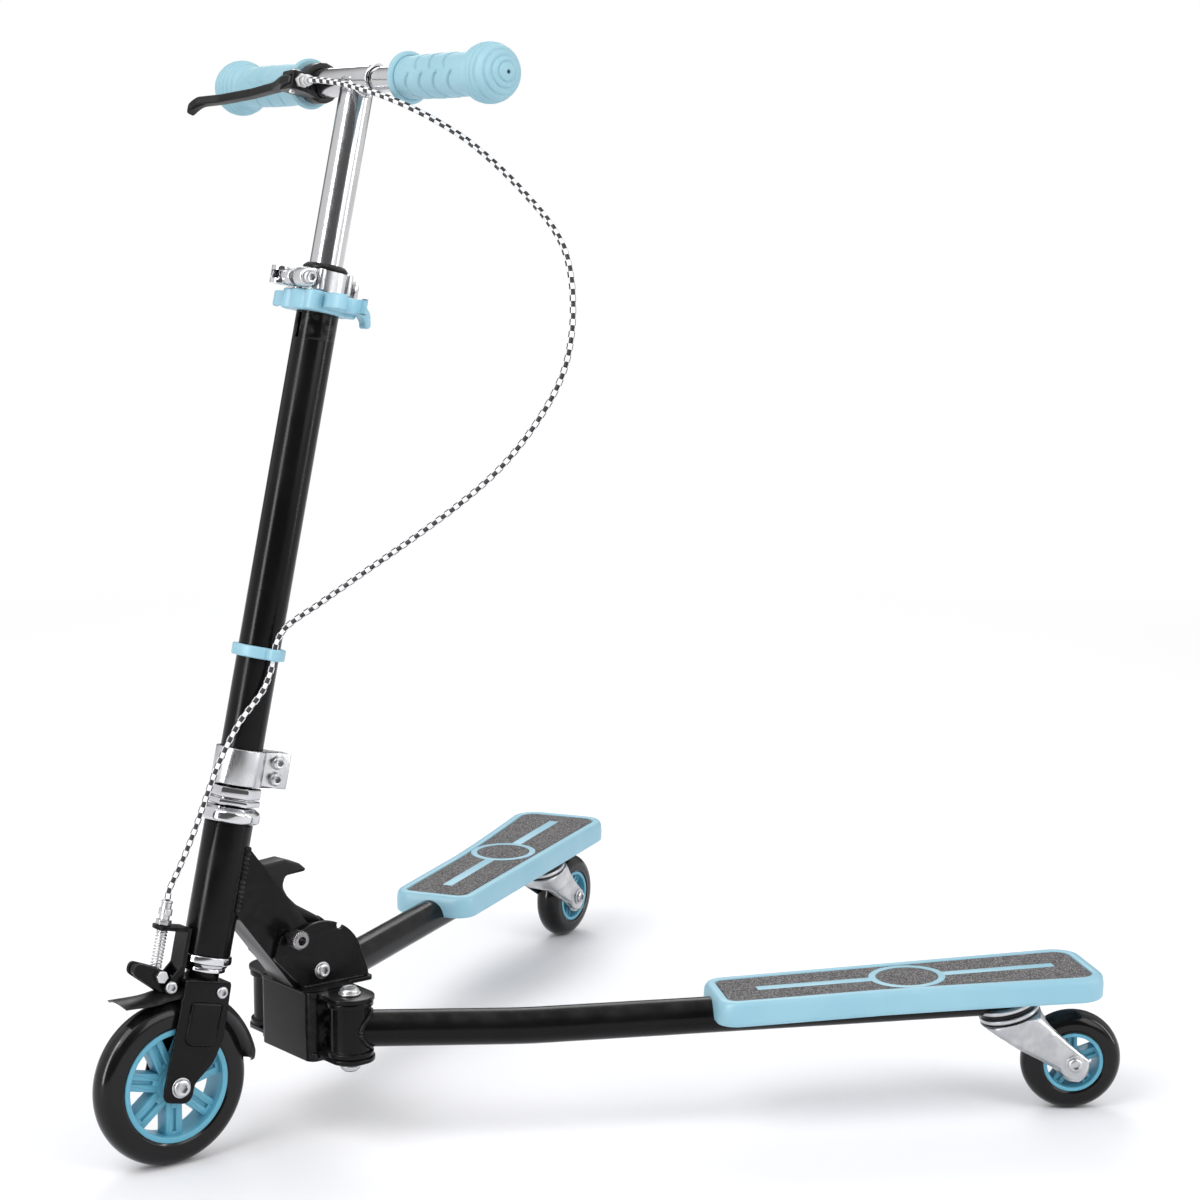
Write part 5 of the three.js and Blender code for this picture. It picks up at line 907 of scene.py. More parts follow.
addPiece("quick_release_band", quickParts(), "steering", "brushedAluminium", column, ["quick_release_collar"])
quickScrew = {"head": 5.2, "height": 4.4, "shank": 2.6, "from": -14, "to": 15}
quickAt = (-quick["bolt"], quick["height"])
quickHead = screwHead(quickScrew["head"], quickScrew["height"])
quickBolt = [turnedAlongX(quickHead, (quickScrew["to"] + 0.1, *quickAt)),
    crossTube(quickScrew["shank"], quickScrew["from"], quickScrew["to"], quickAt, 32)]
addPiece("quick_release_screw", quickBolt, "steering", "zincPlate", column, ["quick_release_bolt"])

clamp = {"foot": 289, "top": 316, "outer": 19.2, "inner": 17.3, "bolts": (296.2, 308.8), "boltAt": 28,
    "half": 8, "ear": 40.5, "slit": 1, "head": (5.4, 5), "shank": 2.8}


def collarParts():
    # a band round the tube, slit at the rear, where its two ends run straight on as ears
    outerEnd = 90 - math.degrees(math.asin(clamp["half"] / clamp["outer"]))
    innerEnd = 90 - math.degrees(math.asin(clamp["slit"] / clamp["inner"]))
    ear = rounded([(clamp["slit"], clamp["inner"]), (clamp["slit"], clamp["ear"], 0.6),
        (clamp["half"], clamp["ear"], 1.6), (clamp["half"], clamp["outer"])], 5)[1:-1]
    outer = arc([0, 0], clamp["outer"], outerEnd, outerEnd - 2 * (outerEnd + 90), 70)
    inner = arc([0, 0], clamp["inner"], innerEnd - 2 * (innerEnd + 90), innerEnd, 70)
    outline = joinedPath(ear, outer, ear[::-1] * [-1, 1], inner)
    return [slab(outline, clamp["foot"], clamp["top"], 0.9, 4)]


addPiece("clamp_collar_cast", collarParts(), "steering", "brushedAluminium", column, ["clamp_collar"])
boltParts = []
for height in clamp["bolts"]:
    boltParts.append(turnedAlongX(screwHead(*clamp["head"]), (clamp["half"] + 0.2, clamp["boltAt"], height)))
    shank = crossTube(clamp["shank"], -clamp["half"] - 2.6, clamp["half"], (clamp["boltAt"], height), 32)
    boltParts.append(shank)
addPiece("clamp_bolts_socket", boltParts, "steering", "zincPlate", column,
    ["clamp_bolt_upper", "clamp_bolt_lower"])
print("clamps done")


# Brake lever, its clamp, cable and the brake on the fork

leverHeight = 815.7
lever = {"pivot": (-43, -29), "half": 3.2, "droopFrom": -46, "droop": 10.5, "curlFrom": -139, "curl": 6}


def leverBlade():
    # a blade inside a rounded outline; past droopFrom it sinks by tan(droop) a millimetre, and its tip curls
    # down by a square
    outline = rounded([(-36, -24, 3), (-38, -35.5, 4), (-50, -37.4, 8), (-66, -33, 10), (-92, -36, 20),
        (-122, -44, 16), (-141, -52.6, 3), (-150.5, -55, 2.4), (-152, -46.5, 2.4), (-143.5, -43.5, 5),
        (-124, -35.4, 16), (-94, -27.6, 20), (-66, -23.6, 8), (-48, -22, 5)], 8)
    # the straight sides are cut into short steps so that they can bend
    closed = np.concatenate([outline, outline[:1]])
    reach = runAlong(closed)
    even = np.linspace(0, reach[-1], 260, endpoint=False)
    outline = np.stack([np.interp(even, reach, closed[:, k]) for k in range(2)], -1)
    blade = slab(outline, -lever["half"], lever["half"], 1.6, 5)
    past = np.clip(lever["droopFrom"] - blade[0][:, 0], 0, None)
    tip = np.clip((lever["curlFrom"] - blade[0][:, 0]) / 12, 0, 1)
    blade[0][:, 2] += leverHeight - past * math.tan(math.radians(lever["droop"])) - lever["curl"] * tip ** 2
    return blade


addPiece("brake_lever_blade", [leverBlade()], "brake_lever", "blackPlastic", column, ["brake_lever"])
leverPin = [moved(screwHead(4, 2.2), by=(*lever["pivot"], leverHeight + 6.9)),
    moved(disc(2.4, -9, 7, 0.3, 24), by=(*lever["pivot"], leverHeight))]
addPiece("brake_lever_screw", leverPin, "upper_bar", "zincPlate", column)


def leverAdjuster():
    # a barrel with fine grooves, a nut and a ring, along X
    barrel = lathe([(0, 0), (3.6, 0), (3.6, 13.4, 0.6), (2.7, 13.9), (0, 13.9)], 3, 40,
        lambda a, row: 0.22 * np.sin(a * 18))
    parts = (barrel, hexNut(9.6, 1.2, 5, 0.5), ringOf(2, 4.4, 6.4, 10.6, 0.6, 36))
    return [turnedAlongX(part, (-33.9, lever["pivot"][1], leverHeight)) for part in parts]


addPiece("lever_adjuster_turned", leverAdjuster(), "upper_bar", "zincPlate", column, ["lever_adjuster"])

brake = {"pivot": (-31, 134.5), "anchor": (-39.4, 141.6)}
pivotParts = [crossTube(2.5, -10.4, 10.4, brake["pivot"], 32),
    *bothSides(screwHead(4.8, 2.6), 10, brake["pivot"])]
addPiece("brake_pivot_pin", pivotParts, "steering", "zincPlate", column)


def brakeArmParts():
    # the arm is an outline through its eye, anchor and pad boss, with two cheeks and a web between them
    outline = rounded([(-26, 129.6, 3), (-36, 128.8, 6), (-62.4, 141.4, 4.6), (-61.6, 150.8, 4.6),
        (-46, 148.2, 5), (-38, 146.4, 4), (-27.6, 139.6, 5)], 8)
    cheeks = [plate(outline, low, high, 0.8) for low, high in ((3, 6.2), (-6.2, -3))]
    return cheeks + [plate(inset(outline, 1), -3.4, 3.4)]


addPiece("brake_arm_cast", brakeArmParts(), "brake_arm", "satinPaint", column, ["brake_arm"])
anchorParts = [turnedAlongX(hexNut(8.6, 0, 3.6, 0.5), (6.3, *brake["anchor"])),
    turnedAlongX(screwHead(5.2, 3.4), (-6.3, *brake["anchor"]), True),
    crossTube(2.3, -8, 9.6, brake["anchor"], 24)]
addPiece("cable_anchor_bolt_socket", anchorParts, "brake_arm", "zincPlate", column, ["cable_anchor_bolt"])

spring = {"foot": 146.9, "top": 175.6, "ahead": 41, "radius": 3.7, "wire": 0.62, "turns": 12}


def springShape():
    # a helix with closed turns at both ends
    share = np.linspace(0, 1, 780)
    lift = np.interp(share, [0, 0.07, 0.93, 1], [0, 0.035, 0.965, 1])
    angle = 2 * math.pi * spring["turns"] * share
    radius, thick, foot = spring["radius"], spring["wire"], spring["foot"]
    rise = foot + thick + lift * (spring["top"] - foot - 2 * thick)
    path = np.stack([radius * np.cos(angle), radius * np.sin(angle) - spring["ahead"], rise], -1)
    return tube(path, thick, 10, (0, 0, 1))


def lowerAdjuster():
    # a nut on the bracket, a barrel with a knurled ring, a lip on top and a ferrule below
    knurled = lathe([(1.4, 186.4), (5, 186.4, 0.6), (5, 191.4, 0.6), (1.4, 191.4)], 3, 48,
        lambda a, row: 0.16 * np.sin(a * 20) * (row > 0) * (row < 8))
    parts = [hexNut(10.4, 179.2, 183.2, 0.5), ringOf(1.4, 3.9, 183.2, 195.6, 0.5, 36), knurled,
        ringOf(1.4, 4.3, 195.6, 197.4, 0.5, 36), ringOf(1.4, 3.4, 170, 176.2, 0.4, 30)]
    return [moved(part, by=(0, -spring["ahead"], 0)) for part in parts]


addPiece("cable_adjuster_turned", lowerAdjuster(), "steering", "zincPlate", column, ["cable_adjuster"])
wireRoute = np.array([[0, -41, 196], [0, -41, 170], [0, -41, 158], [0.3, -40.7, 150], [0.4, -40.2, 143]])
wireRadius = 0.75
wire = addPiece("brake_inner_wire", [tube(wireRoute, wireRadius, 10, (1, 0, 0))], None, "zincPlate", column)
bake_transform(wire)
coil = addPiece("brake_spring_coiled", [springShape()], None, "zincPlate", column, ["brake_spring"])
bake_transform(coil)
wheelTop = axleAt[2] + wheels["front_wheel_spin"]["radius"]
pad = {"front": -26, "rear": -11, "foot": 2.9, "top": 6.1, "half": 5.4}
steel = {"front": -25, "rear": -12, "foot": 6, "top": 7.6, "half": 4.4}


def padBlock(size, radius, steps, bevel):
    # a block with round corners from front to rear; foot and top are heights above the wheel's top
    box = roundedBox((size["front"], wheelTop + size["foot"]), (size["rear"], wheelTop + size["top"]),
        radius, steps)
    return plate(box, -size["half"], size["half"], bevel)


addPiece("brake_pad_rubber", [padBlock(pad, 1, 4, 0.7)], "brake_arm", "brakeRubber", column, ["brake_pad"])
addPiece("brake_pad_plate", [padBlock(steel, 0.4, 2, 0.4)], "brake_arm", "zincPlate", column)

cable = {"radius": 2.25, "pitch": 8.6, "rings": 420, "around": 20}
route = [(-19.4, -29, 815.7), (-10, -28, 815.5), (22, -25, 812), (74, -12, 801), (114, 24, 782),
    (158, 57, 746), (192, 70, 713), (207, 75.2, 674), (209.6, 76.3, 631), (198.3, 72.2, 595),
    (172, 62.6, 551), (131.6, 47.9, 509), (84, 28, 465), (46, 12, 430), (26, 2.4, 410), (21.6, 0, 397),
    (21.6, 0, 381), (21.2, -4, 362), (18, -16.5, 338), (13, -27, 299), (8, -33, 253), (3.4, -38, 222),
    (0, -41, 205.1), (0, -41, 197.6)]
cablePath = curveThrough(route, 14)
cableRun = runAlong(cablePath)
evenRun = np.linspace(0, cableRun[-1], cable["rings"])
cablePath = np.stack([np.interp(evenRun, cableRun, cablePath[:, k]) for k in range(3)], -1)
cablePoints = tube(cablePath, cable["radius"], cable["around"], (0.2, -0.95, 0.25))[0]
# a seam column is repeated so that U can run from 0 to 1
cableGrid = cablePoints.reshape(len(cablePath), cable["around"], 3)
cableGrid = np.concatenate([cableGrid, cableGrid[:, :1]], 1)
sleeve = skin(cableGrid, around=False, ends=False)
acrossUv, alongUv = np.linspace(0, 1, cable["around"] + 1)[None, :], evenRun[:, None] / cable["pitch"]
sleeveUv = np.stack(np.broadcast_arrays(acrossUv, alongUv), -1).reshape(-1, 2)
braided = addPiece("brake_cable_sleeve", [sleeve], None, "braid", column, ["brake_cable"], uv=sleeveUv)
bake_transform(braided)


# The clip is a thin ring round the tube with a small eye for the cable
clip = {"radius": 20.2, "foot": 384.6, "top": 393.4, "eyeAt": 21.6, "eye": 5.6}


def clipParts():
    # the outline is the furthest of the ring's circle and the eye's circle, seen from the tube's axis
    angle = np.linspace(0, 2 * math.pi, 161)[:-1]
    off = np.mod(angle + math.pi, 2 * math.pi) - math.pi
    room = clip["eye"] ** 2 - (clip["eyeAt"] * np.sin(off)) ** 2
    far = clip["eyeAt"] * np.cos(off) + np.sqrt(np.maximum(room, 0))
    reach = np.where((room > 0) & (np.abs(off) < 1), np.maximum(clip["radius"], far), clip["radius"])
    outline = np.stack([reach * np.cos(angle), reach * np.sin(angle)], -1)
    return [slab(outline, clip["foot"], clip["top"], 1.2, 4)]


addPiece("cable_clip_ring", clipParts(), "steering", "lightBluePlastic", column, ["cable_clip"])
print("brake and cable done")


# Folding joint, in the ground frame: outlines are drawn in Y and Z

fold = {"pivot": (-2, 131), "arc": 38, "pin": 131.8, "other": 61.8, "notch": 3.3, "seat": 37.1, "ear": 47,
    "inner": 15.4, "sheet": 4, "pinAt": (-29.73, 162.01)}


def aroundPivot(points, turn):
    # points given outwards and across the radius at that turn
    turn = math.radians(turn)
    points = np.atleast_2d(np.asarray(points, float))
    return points @ np.array([[math.cos(turn), math.sin(turn)],
        [-math.sin(turn), math.cos(turn)]]) + np.array(fold["pivot"])


def quadrantOutline():
    lip = math.sqrt(fold["arc"] ** 2 - fold["notch"] ** 2)
    bottom = arc([fold["seat"], 0], fold["notch"], -90, -270, 14)
    wide = math.degrees(fold["notch"] / fold["arc"])
    notch, ear = joinedPath([(lip, -fold["notch"])], bottom), fold["ear"]
    first = aroundPivot(joinedPath(notch, [(lip, fold["notch"])]), fold["other"])
    second = aroundPivot(joinedPath(notch, [(ear - 1.5, fold["notch"]), (ear, fold["notch"] + 1.5)]),
        fold["pin"])
    tip = arc(fold["pivot"], ear, fold["pin"] + 6.6, fold["pin"] + 11, 3)
    corner = arc(fold["pivot"], 44.7, 155, 160, 3)
    return joinedPath([(41, 119.9), (40.6, 124)],
        arc(fold["pivot"], fold["arc"], 18, fold["other"] - wide, 10)[1:-1], first,
        arc(fold["pivot"], fold["arc"], fold["other"] + wide, fold["pin"] - wide, 30)[1:-1], second, tip,
        corner, [(-19.7, 119.9)])


quadrant = quadrantOutline()
for name, low in (("left", fold["inner"]), ("right", -fold["inner"] - fold["sheet"])):
    shape = plate(quadrant, low, low + fold["sheet"], 0.55)
    edge = fold["inner"] + fold["sheet"] if low > 0 else -fold["inner"] - fold["sheet"]
    bead = weldBead([(edge, y, 120.1) for y in np.linspace(-18, 36, 120)], 1.2)
    addPiece("fold_plate_" + name + "_cut", [shape, bead], "rear_frame", "satinPaint", ground,
        ["fold_plate_" + name])
foldBolt = {"shank": 5, "half": 19.6, "washer": 6.6, "head": 5.6, "height": 3.4}
washers = bothSides(disc(foldBolt["washer"], 0, 1, 0.3), foldBolt["half"] - 0.1, fold["pivot"])
heads = bothSides(screwHead(foldBolt["head"], foldBolt["height"], 0.5), foldBolt["half"] + 0.8, fold["pivot"])
pivotParts = [crossTube(foldBolt["shank"], -foldBolt["half"], foldBolt["half"], fold["pivot"], 40),
    *washers, *heads]
addPiece("fold_pivot_bolt_domed", pivotParts, "rear_frame", "zincPlate", ground, ["fold_pivot_bolt"])

pinProfile = rounded([(0, -24.4), (5, -24.4, 1), (5, -21.4, 0.4), (3, -21.4), (3, 21.5), (5, 21.5, 0.4),
    (5, 24.6), (7, 25.4, 0.8), (7, 34.8, 1), (5.6, 36, 0.5), (3.4, 36), (3.4, 28), (0, 28)], 3)
knurlFrom, knurlTo, knurlDepth = 25.8, 34.6, 0.32


def knurl(angle, row):
    # a wave round the knob, only on its rows
    reach, height = pinProfile[row, 0], pinProfile[row, 1]
    onKnob = (height > knurlFrom - 1) & (height < knurlTo + 0.6) & (reach > 6)
    return knurlDepth * np.sin(angle * 24) * onKnob


addPiece("lock_pin_turned", [turnedAlongX(turned(pinProfile, 156, knurl), (0, *fold["pinAt"]))],
    "fold_latch", "darkSteel", ground, ["lock_pin"])

hook = {"half": 8.5, "height": 56}
hookShares = [(-0.32, 0.99, 3), (0.06, 1.02, 5), (0.3, 0.93, 5), (0.4, 0.84, 2), (0.37, 0.81, 1.2),
    (0.07, 0.79, 4), (0.02, 0.65, 8), (0.1, 0.5, 12), (0.24, 0.36, 12), (0.5, 0.2, 5), (0.62, 0.12, 2),
    (0.6, 0.06, 2), (0.42, 0.08, 4), (0.16, 0.13, 6), (-0.06, 0.3, 12), (-0.14, 0.6, 20)]
hookCorners = [(fold["pinAt"][0] + hook["height"] * y, fold["pinAt"][1] + hook["height"] * z, turn)
    for y, z, turn in hookShares]
stalk = rounded([(-5.6, 0, 1), (5.6, 0, 1), (13, 17, 3), (-3, 22, 3)], 4) + fold["pinAt"]
hookParts = [plate(rounded(hookCorners, 7), -hook["half"], hook["half"], 1.9, 5),
    crossTube(6, -8.4, 8.4, fold["pinAt"]), plate(stalk, -7.6, 7.6, 1.4, 4)]
addPiece("release_hook_moulded", hookParts, "fold_latch", "blackPlastic", ground, ["release_hook"], 45)

beads = [weldBead([(sign * 15.2, 10.9, t) for t in np.linspace(194, 244.4, 150)], 2.1, 0.4, 3.6)
    for sign in (1, -1)]
addPiece("channel_weld_beads", beads, "front_frame", "satinPaint", column)

block = {"front": -24, "half": 36, "sheet": 3.5, "foot": 65.5, "top": 119.5, "rear": 8, "ear": 19,
    "side": 54.2, "tongue": (22, 44)}


def blockParts():
    # a bent band, open rearward, between two covers that end in round ears; a tongue carries the plates
    half, front, sheet = block["half"], block["front"], block["sheet"]
    rear, inner, floor = block["rear"], half - sheet, front + sheet
    band = joinedPath(rounded([(half, rear), (half, front, 7), (-half, front, 7), (-half, rear)], 10),
        rounded([(-inner, rear), (-inner, floor, 3.5), (inner, floor, 3.5), (inner, rear)], 10))
    parts = [slab(band, block["foot"], block["top"], 0.8)]
    (wide, deep), ear, side = block["tongue"], block["ear"], block["side"]
    tongue = [(side, ear), (wide, ear, 4), (wide, deep, 4), (-wide, deep, 4), (-wide, ear, 4), (-side, ear)]
    nose = [(-half - 4, -18, 3), (-half + 1, front + 1.5, 4), (half - 1, front + 1.5, 4), (half + 4, -18, 3)]
    cover = joinedPath(arc([side, 0], ear, -70, 90, 26), rounded(tongue, 6)[1:-1],
        arc([-side, 0], ear, 90, 250, 26), rounded(nose, 6))
    for low in (block["top"] - sheet, block["foot"] + 3.5):
        parts.append(slab(cover, low, low + sheet, 0.7))
    seam = [(x, front - 0.1, block["top"] - 0.6) for x in np.linspace(-half + 7, half - 7, 120)]
    parts.append(weldBead(seam, 0.9, 0.12))
    for sign in (1, -1):
        parts.append(weldBead([(sign * (half + 0.1), y, block["top"] - sheet - 0.4)
            for y in np.linspace(front + 8, rear - 1, 60)], 1.2))
    return parts


addPiece("hinge_block_folded", blockParts(), "rear_frame", "satinPaint", ground, ["hinge_block"])

hingeBolts = {"left": 54.2, "right": -54.2}
hingeBolt = {"shank": 5, "washer": 8.6, "head": 7.4, "socket": 0.42}


def hingeBoltParts():
    # a shank with a washer and a domed head at both ends, the lower one upside down
    head, socket = hingeBolt["head"], hingeBolt["socket"]
    return [disc(hingeBolt["shank"], 64, 124, 0.3, 32), disc(hingeBolt["washer"], 119.8, 121.2, 0.4),
        disc(hingeBolt["washer"], 63.8, 65.2, 0.4), moved(screwHead(head, 4.4, socket), by=(0, 0, 121.1)),
        moved(screwHead(head, 3.6, socket), [[1, 0, 0], [0, -1, 0], [0, 0, -1]], (0, 0, 63.9))]


for name, at in hingeBolts.items():
    parts = [moved(part, by=(at, 0, 0)) for part in hingeBoltParts()]
    addPiece("arm_hinge_bolt_" + name + "_domed", parts, "rear_frame", "zincPlate", ground,
        ["arm_hinge_bolt_" + name])
print("fold done")


# Arms, races, forks: the arm's own frame, then the swivel's

arm = {"radius": 14, "end": 507, "heights": ((0, 93), (135, 88), (507, 91.5)), "bendSpan": 34,
    "sleeve": 15.6, "collar": 18, "foot": 72.8, "top": 115.7, "mount": 21, "mountFoot": 13.3,
    "mountTop": 25.9}
race = {"radius": 24, "height": 13}
casterFork = {"drop": 49, "trail": 37.4, "cheek": 16.4, "nose": 24.4, "boss": 13, "sheet": 2.6,
    "front": 0.3, "rear": 0.13, "from": 50, "to": 66}


def armHeights(y):
    # the mean of the bent line over the bend's span
    places, heights = zip(*arm["heights"])
    offsets = np.linspace(-0.5, 0.5, 15) * arm["bendSpan"]
    return np.interp(np.asarray(y)[:, None] + offsets, places, heights).mean(1)


def armParts():
    # a tube along the bent line, the hinge sleeve with its two collars, and the weld where the two meet
    y = np.linspace(4, arm["end"], 90)
    path = np.stack([0 * y, y, armHeights(y)], -1)
    foot, top, collar, waist = arm["foot"], arm["top"], arm["collar"], arm["sleeve"]
    sleeve = lathe([(5.3, foot), (collar, foot, 1), (collar, foot + 4, 0.8), (waist, foot + 4.3, 0.6),
        (waist, top - 4.3, 0.6), (collar, top - 4, 0.8), (collar, top, 1), (5.3, top)], 4, 72)
    angle = np.linspace(0, 2 * math.pi, 110)[:-1]
    reach = np.sqrt(np.maximum(waist ** 2 - (14.2 * np.cos(angle)) ** 2, 0)) + 0.6
    seam = np.stack([14.3 * np.cos(angle), reach, armHeights(reach) + 14.3 * np.sin(angle)], -1)
    return [tube(path, arm["radius"], 56, (0, 0, 1)), sleeve, weldBead(seam, 1.5)]


def casterForkShape():
    # Columns run round the crown, rows go down the outside and back up the inside. A section at share s of
    # the drop is a rounded box of half width half(s) and half length long(s), centred at middle(s); each
    # column stops at its own reach.
    size = casterFork
    angle = np.radians(np.linspace(0, 360, 193)[:-1])
    off = np.degrees(np.abs(np.arcsin(np.sin(angle))))
    blend = np.clip((size["to"] - off) / (size["to"] - size["from"]), 0, 1)
    blend = blend * blend * (3 - 2 * blend)
    apron = np.where(np.sin(angle) < 0, size["front"], size["rear"])
    reach = apron + (1 + size["boss"] / size["drop"] - apron) * blend

    def sections(wall, rowShares):
        s = rowShares[:, None] * reach[None, :]
        under = np.clip(s - 1, 0, None) * size["drop"]
        ease = (1 - np.minimum(s, 1)) ** 2.6
        half = size["cheek"] + (size["nose"] - size["cheek"]) * ease - wall
        long = size["nose"] - (size["nose"] - size["boss"]) * np.minimum(s, 1) ** 0.8
        long = np.where(s > 1, np.sqrt(np.maximum(size["boss"] ** 2 - under ** 2, 0.01)), long)
        long = long - wall * (s < 0.5) * (1 - 2 * np.minimum(s, 0.5)) * (blend < 0.99)
        middle = size["trail"] * np.minimum(s, 1) ** 1.15
        power = 2 / (2 + 5 * np.minimum(s, 1) ** 0.6)
        x = half * np.sign(np.cos(angle)) * np.abs(np.cos(angle)) ** power
        y = middle + long * np.sign(np.sin(angle)) * np.abs(np.sin(angle)) ** power
        crease = 0.8 * np.exp(-((s - 0.42) / 0.05) ** 2) * blend
        return np.stack([x + crease * np.sign(np.cos(angle)), y,
            -0.5 - wall - s * (size["drop"] - wall * (s < 0.3))], -1)

    rows = np.linspace(0, 1, 40) ** 1.2
    outer, inner = sections(0, rows), sections(size["sheet"], rows[::-1])
    lid = [outer[0] * [share, share, 1] for share in (0.0, 0.3, 0.55, 0.8, 0.95)]
    floor = [inner[-1] * [share, share, 1] for share in (0.9, 0.5, 0.0)]
    return skin(np.concatenate([lid, outer, inner, floor]), ends=False)


def racePieces(name):
    # two pressed rings with a dark seal between them and the king pin's nut below
    place = swivelFrame(name)
    wide, top = race["radius"], race["height"]
    low = lathe([(5, 0), (21.5, 0), (wide, 1.6, 1), (wide, 4.4, 0.8), (22.4, 4.8), (5, 4.8)], 4, 88)
    high = lathe([(5, 8.4), (22.4, 8.4), (wide, 8.8, 0.8), (wide, 11.6, 1), (21.4, top, 0.6), (5, top)],
        4, 88)
    seal = lathe([(5, 4.7), (22.2, 4.7, 0.4), (22.2, 8.5, 0.4), (5, 8.5)], 3, 88)
    nut = [disc(8.5, -6.4, -4.9, 0.4, 40), disc(5, -4.9, 0.5, 0.3, 32)]
    addPiece(name + "_race_rings", [low, high] + nut, name + "_arm", "zincPlate", place,
        [name + "_caster_race"])
    addPiece(name + "_race_seal", [seal], name + "_arm", "blackPlastic", place)


casterBolt = {"head": 5.6, "height": 3.2, "washer": 7.6}


def mountPart():
    # a round boss with a shallow dish in its top
    foot, top, wide = arm["mountFoot"], arm["mountTop"], arm["mount"]
    return lathe([(0, foot), (wide, foot, 1), (wide, top, 3), (9, top, 1), (8, top - 3, 1), (0, top - 3)],
        4, 72)


def casterAxleParts():
    # a shank with a spacer ring, a washer and a domed head on each side of the fork
    cheek, at = casterFork["cheek"], (casterFork["trail"], -casterFork["drop"])
    spacers = [crossTube(6.4, low, low + 1.6, at, 40) for low in (12.1, -13.7)]
    washers = bothSides(disc(casterBolt["washer"], 0, 1.1, 0.4), cheek + 0.1, at)
    heads = bothSides(screwHead(casterBolt["head"], casterBolt["height"]), cheek + 1.1, at)
    return [crossTube(3.4, -cheek - 1, cheek + 1, at, 32), *spacers, *washers, *heads]


for name in sides:
    addPiece(name + "_arm_bent", armParts(), name + "_arm", "satinPaint", armFrame(name), [name + "_arm"])
    addPiece(name + "_arm_mount", [mountPart()], name + "_arm", "satinPaint", swivelFrame(name))
    racePieces(name)
    spin = casterFrame(name)
    addPiece(name + "_caster_fork_pressed", [casterForkShape()], name + "_caster", "zincPlate", spin,
        [name + "_caster_fork"], 50)
    addPiece(name + "_caster_axle_bolt", casterAxleParts(), name + "_caster", "zincPlate", spin,
        [name + "_caster_axle"])
print("arms and casters done")


# Decks: rings of one outline drawn in by a little more at each height, over a plane that rises rearward

deck = {"start": 279, "end": 587, "frontHalf": 38, "rearHalf": 50, "innerRear": 45, "waist": 0.42,
    "flare": 1.3, "frontRound": 17, "rearRound": 22, "slope": 0.03, "height": 107.5, "from": 288,
    "skirt": 17, "wall": 3.4, "ribs": 4}
tape = {"inset": 9.7, "ringRadius": 30, "ringWidth": 5.4, "ringAt": 436.5, "stripeHalf": 4.6,
    "stripeFrom": 316, "stripeTo": 556}


def deckOutline(side, by):
    # the outer side flares past the waist by its share to the power of flare; the inner side widens evenly
    front, start, end = deck["frontHalf"], deck["start"], deck["end"]

    def outerX(share):
        past = max(0, (share - deck["waist"]) / (1 - deck["waist"]))
        return front + (deck["rearHalf"] - front) * past ** deck["flare"]

    def innerX(share):
        return -(front + (deck["innerRear"] - front) * share)

    flank = [(outerX(share), start + (end - start) * share, 40) for share in (0.42, 0.56, 0.7, 0.84)]
    corners = [(innerX(0), start, deck["frontRound"]), (outerX(0), start, deck["frontRound"])] + flank
    corners += [(outerX(1), end, deck["rearRound"]), (innerX(1), end, deck["rearRound"])]
    return inset(rounded(corners, 14), by) * [side, 1]


def onSlope(part):
    # height is added in proportion to the distance behind the deck's start
    points = part[0].copy()
    points[:, 2] += deck["height"] + deck["slope"] * (points[:, 1] - deck["from"])
    return points, part[1]


def stacked(side, levels):
    # one ring for each (drawn in by, height)
    rings = [np.column_stack([outline := deckOutline(side, by), np.full(len(outline), height)])
        for by, height in levels]
    return skin(np.array(rings))


def deckParts(side):
    # rings up the inside of the skirt, round its foot, up the outside and over the raised rim; ribs below
    skirt, wall = -1.2 - deck["skirt"], deck["wall"]
    levels = [(wall, -1.2 - wall), (wall, skirt + 0.8), (wall - 0.8, skirt), (0.9, skirt),
        (0.2, skirt + 0.8), (0, skirt + 3), (-0.2, -9), (0, -6.2), (0.3, -3.4), (1.1, -1.3), (2.4, 0.1),
        (4, 0.6), (6.8, 0.7), (8.3, 0.45), (9, -0.3), (9.3, -1.5), (10.2, -1.6)]
    parts = [stacked(side, levels)]
    run = deck["end"] - deck["start"]
    for i in range(1, deck["ribs"] + 1):
        at = deck["start"] + run * 0.72 * i / (deck["ribs"] + 0.4)
        parts.append(slab(roundedBox((-36, at), (36, at + 3), 1, 3), -13, -3.4))
    return [onSlope(part) for part in parts]


for name, sign in sides.items():
    place = armFrame(name)
    addPiece(name + "_deck_moulded", deckParts(sign), name + "_arm", "lightBluePlastic", place,
        [name + "_deck"])
    levels = [(tape["inset"], -1.9), (tape["inset"], -0.25), (tape["inset"] + 0.25, 0)]
    addPiece(name + "_grip_tape_sheet", [onSlope(stacked(sign, levels))], name + "_arm", "gritTape",
        place, [name + "_grip_tape"])
    inner = tape["ringRadius"] - tape["ringWidth"]
    marks = [moved(ringOf(inner, tape["ringRadius"], -0.3, 0.22, 0.12, 120), by=(0, tape["ringAt"], 0))]
    for low, high in ((tape["stripeFrom"], tape["ringAt"] - inner - 2),
            (tape["ringAt"] + inner + 2, tape["stripeTo"])):
        half = tape["stripeHalf"]
        marks.append(slab(rounded([(-half, low, 1), (half, low, 1), (half, high, 0.2),
            (-half, high, 0.2)], 4), -0.3, 0.2, 0.12))
    addPiece(name + "_tape_marks", [onSlope(part) for part in marks], name + "_arm", "lightBluePlastic",
        place)
print("decks done")


# CAD pieces that stay: welded, softly bevelled, smooth except at their edges

kept = {"fold_channel": ("satinPaint", 0.6), "quick_release_lever": ("chrome", 0.9),
    "lever_clamp": ("blackPlastic", 0.9), "brake_bracket": ("satinPaint", 0.4)}


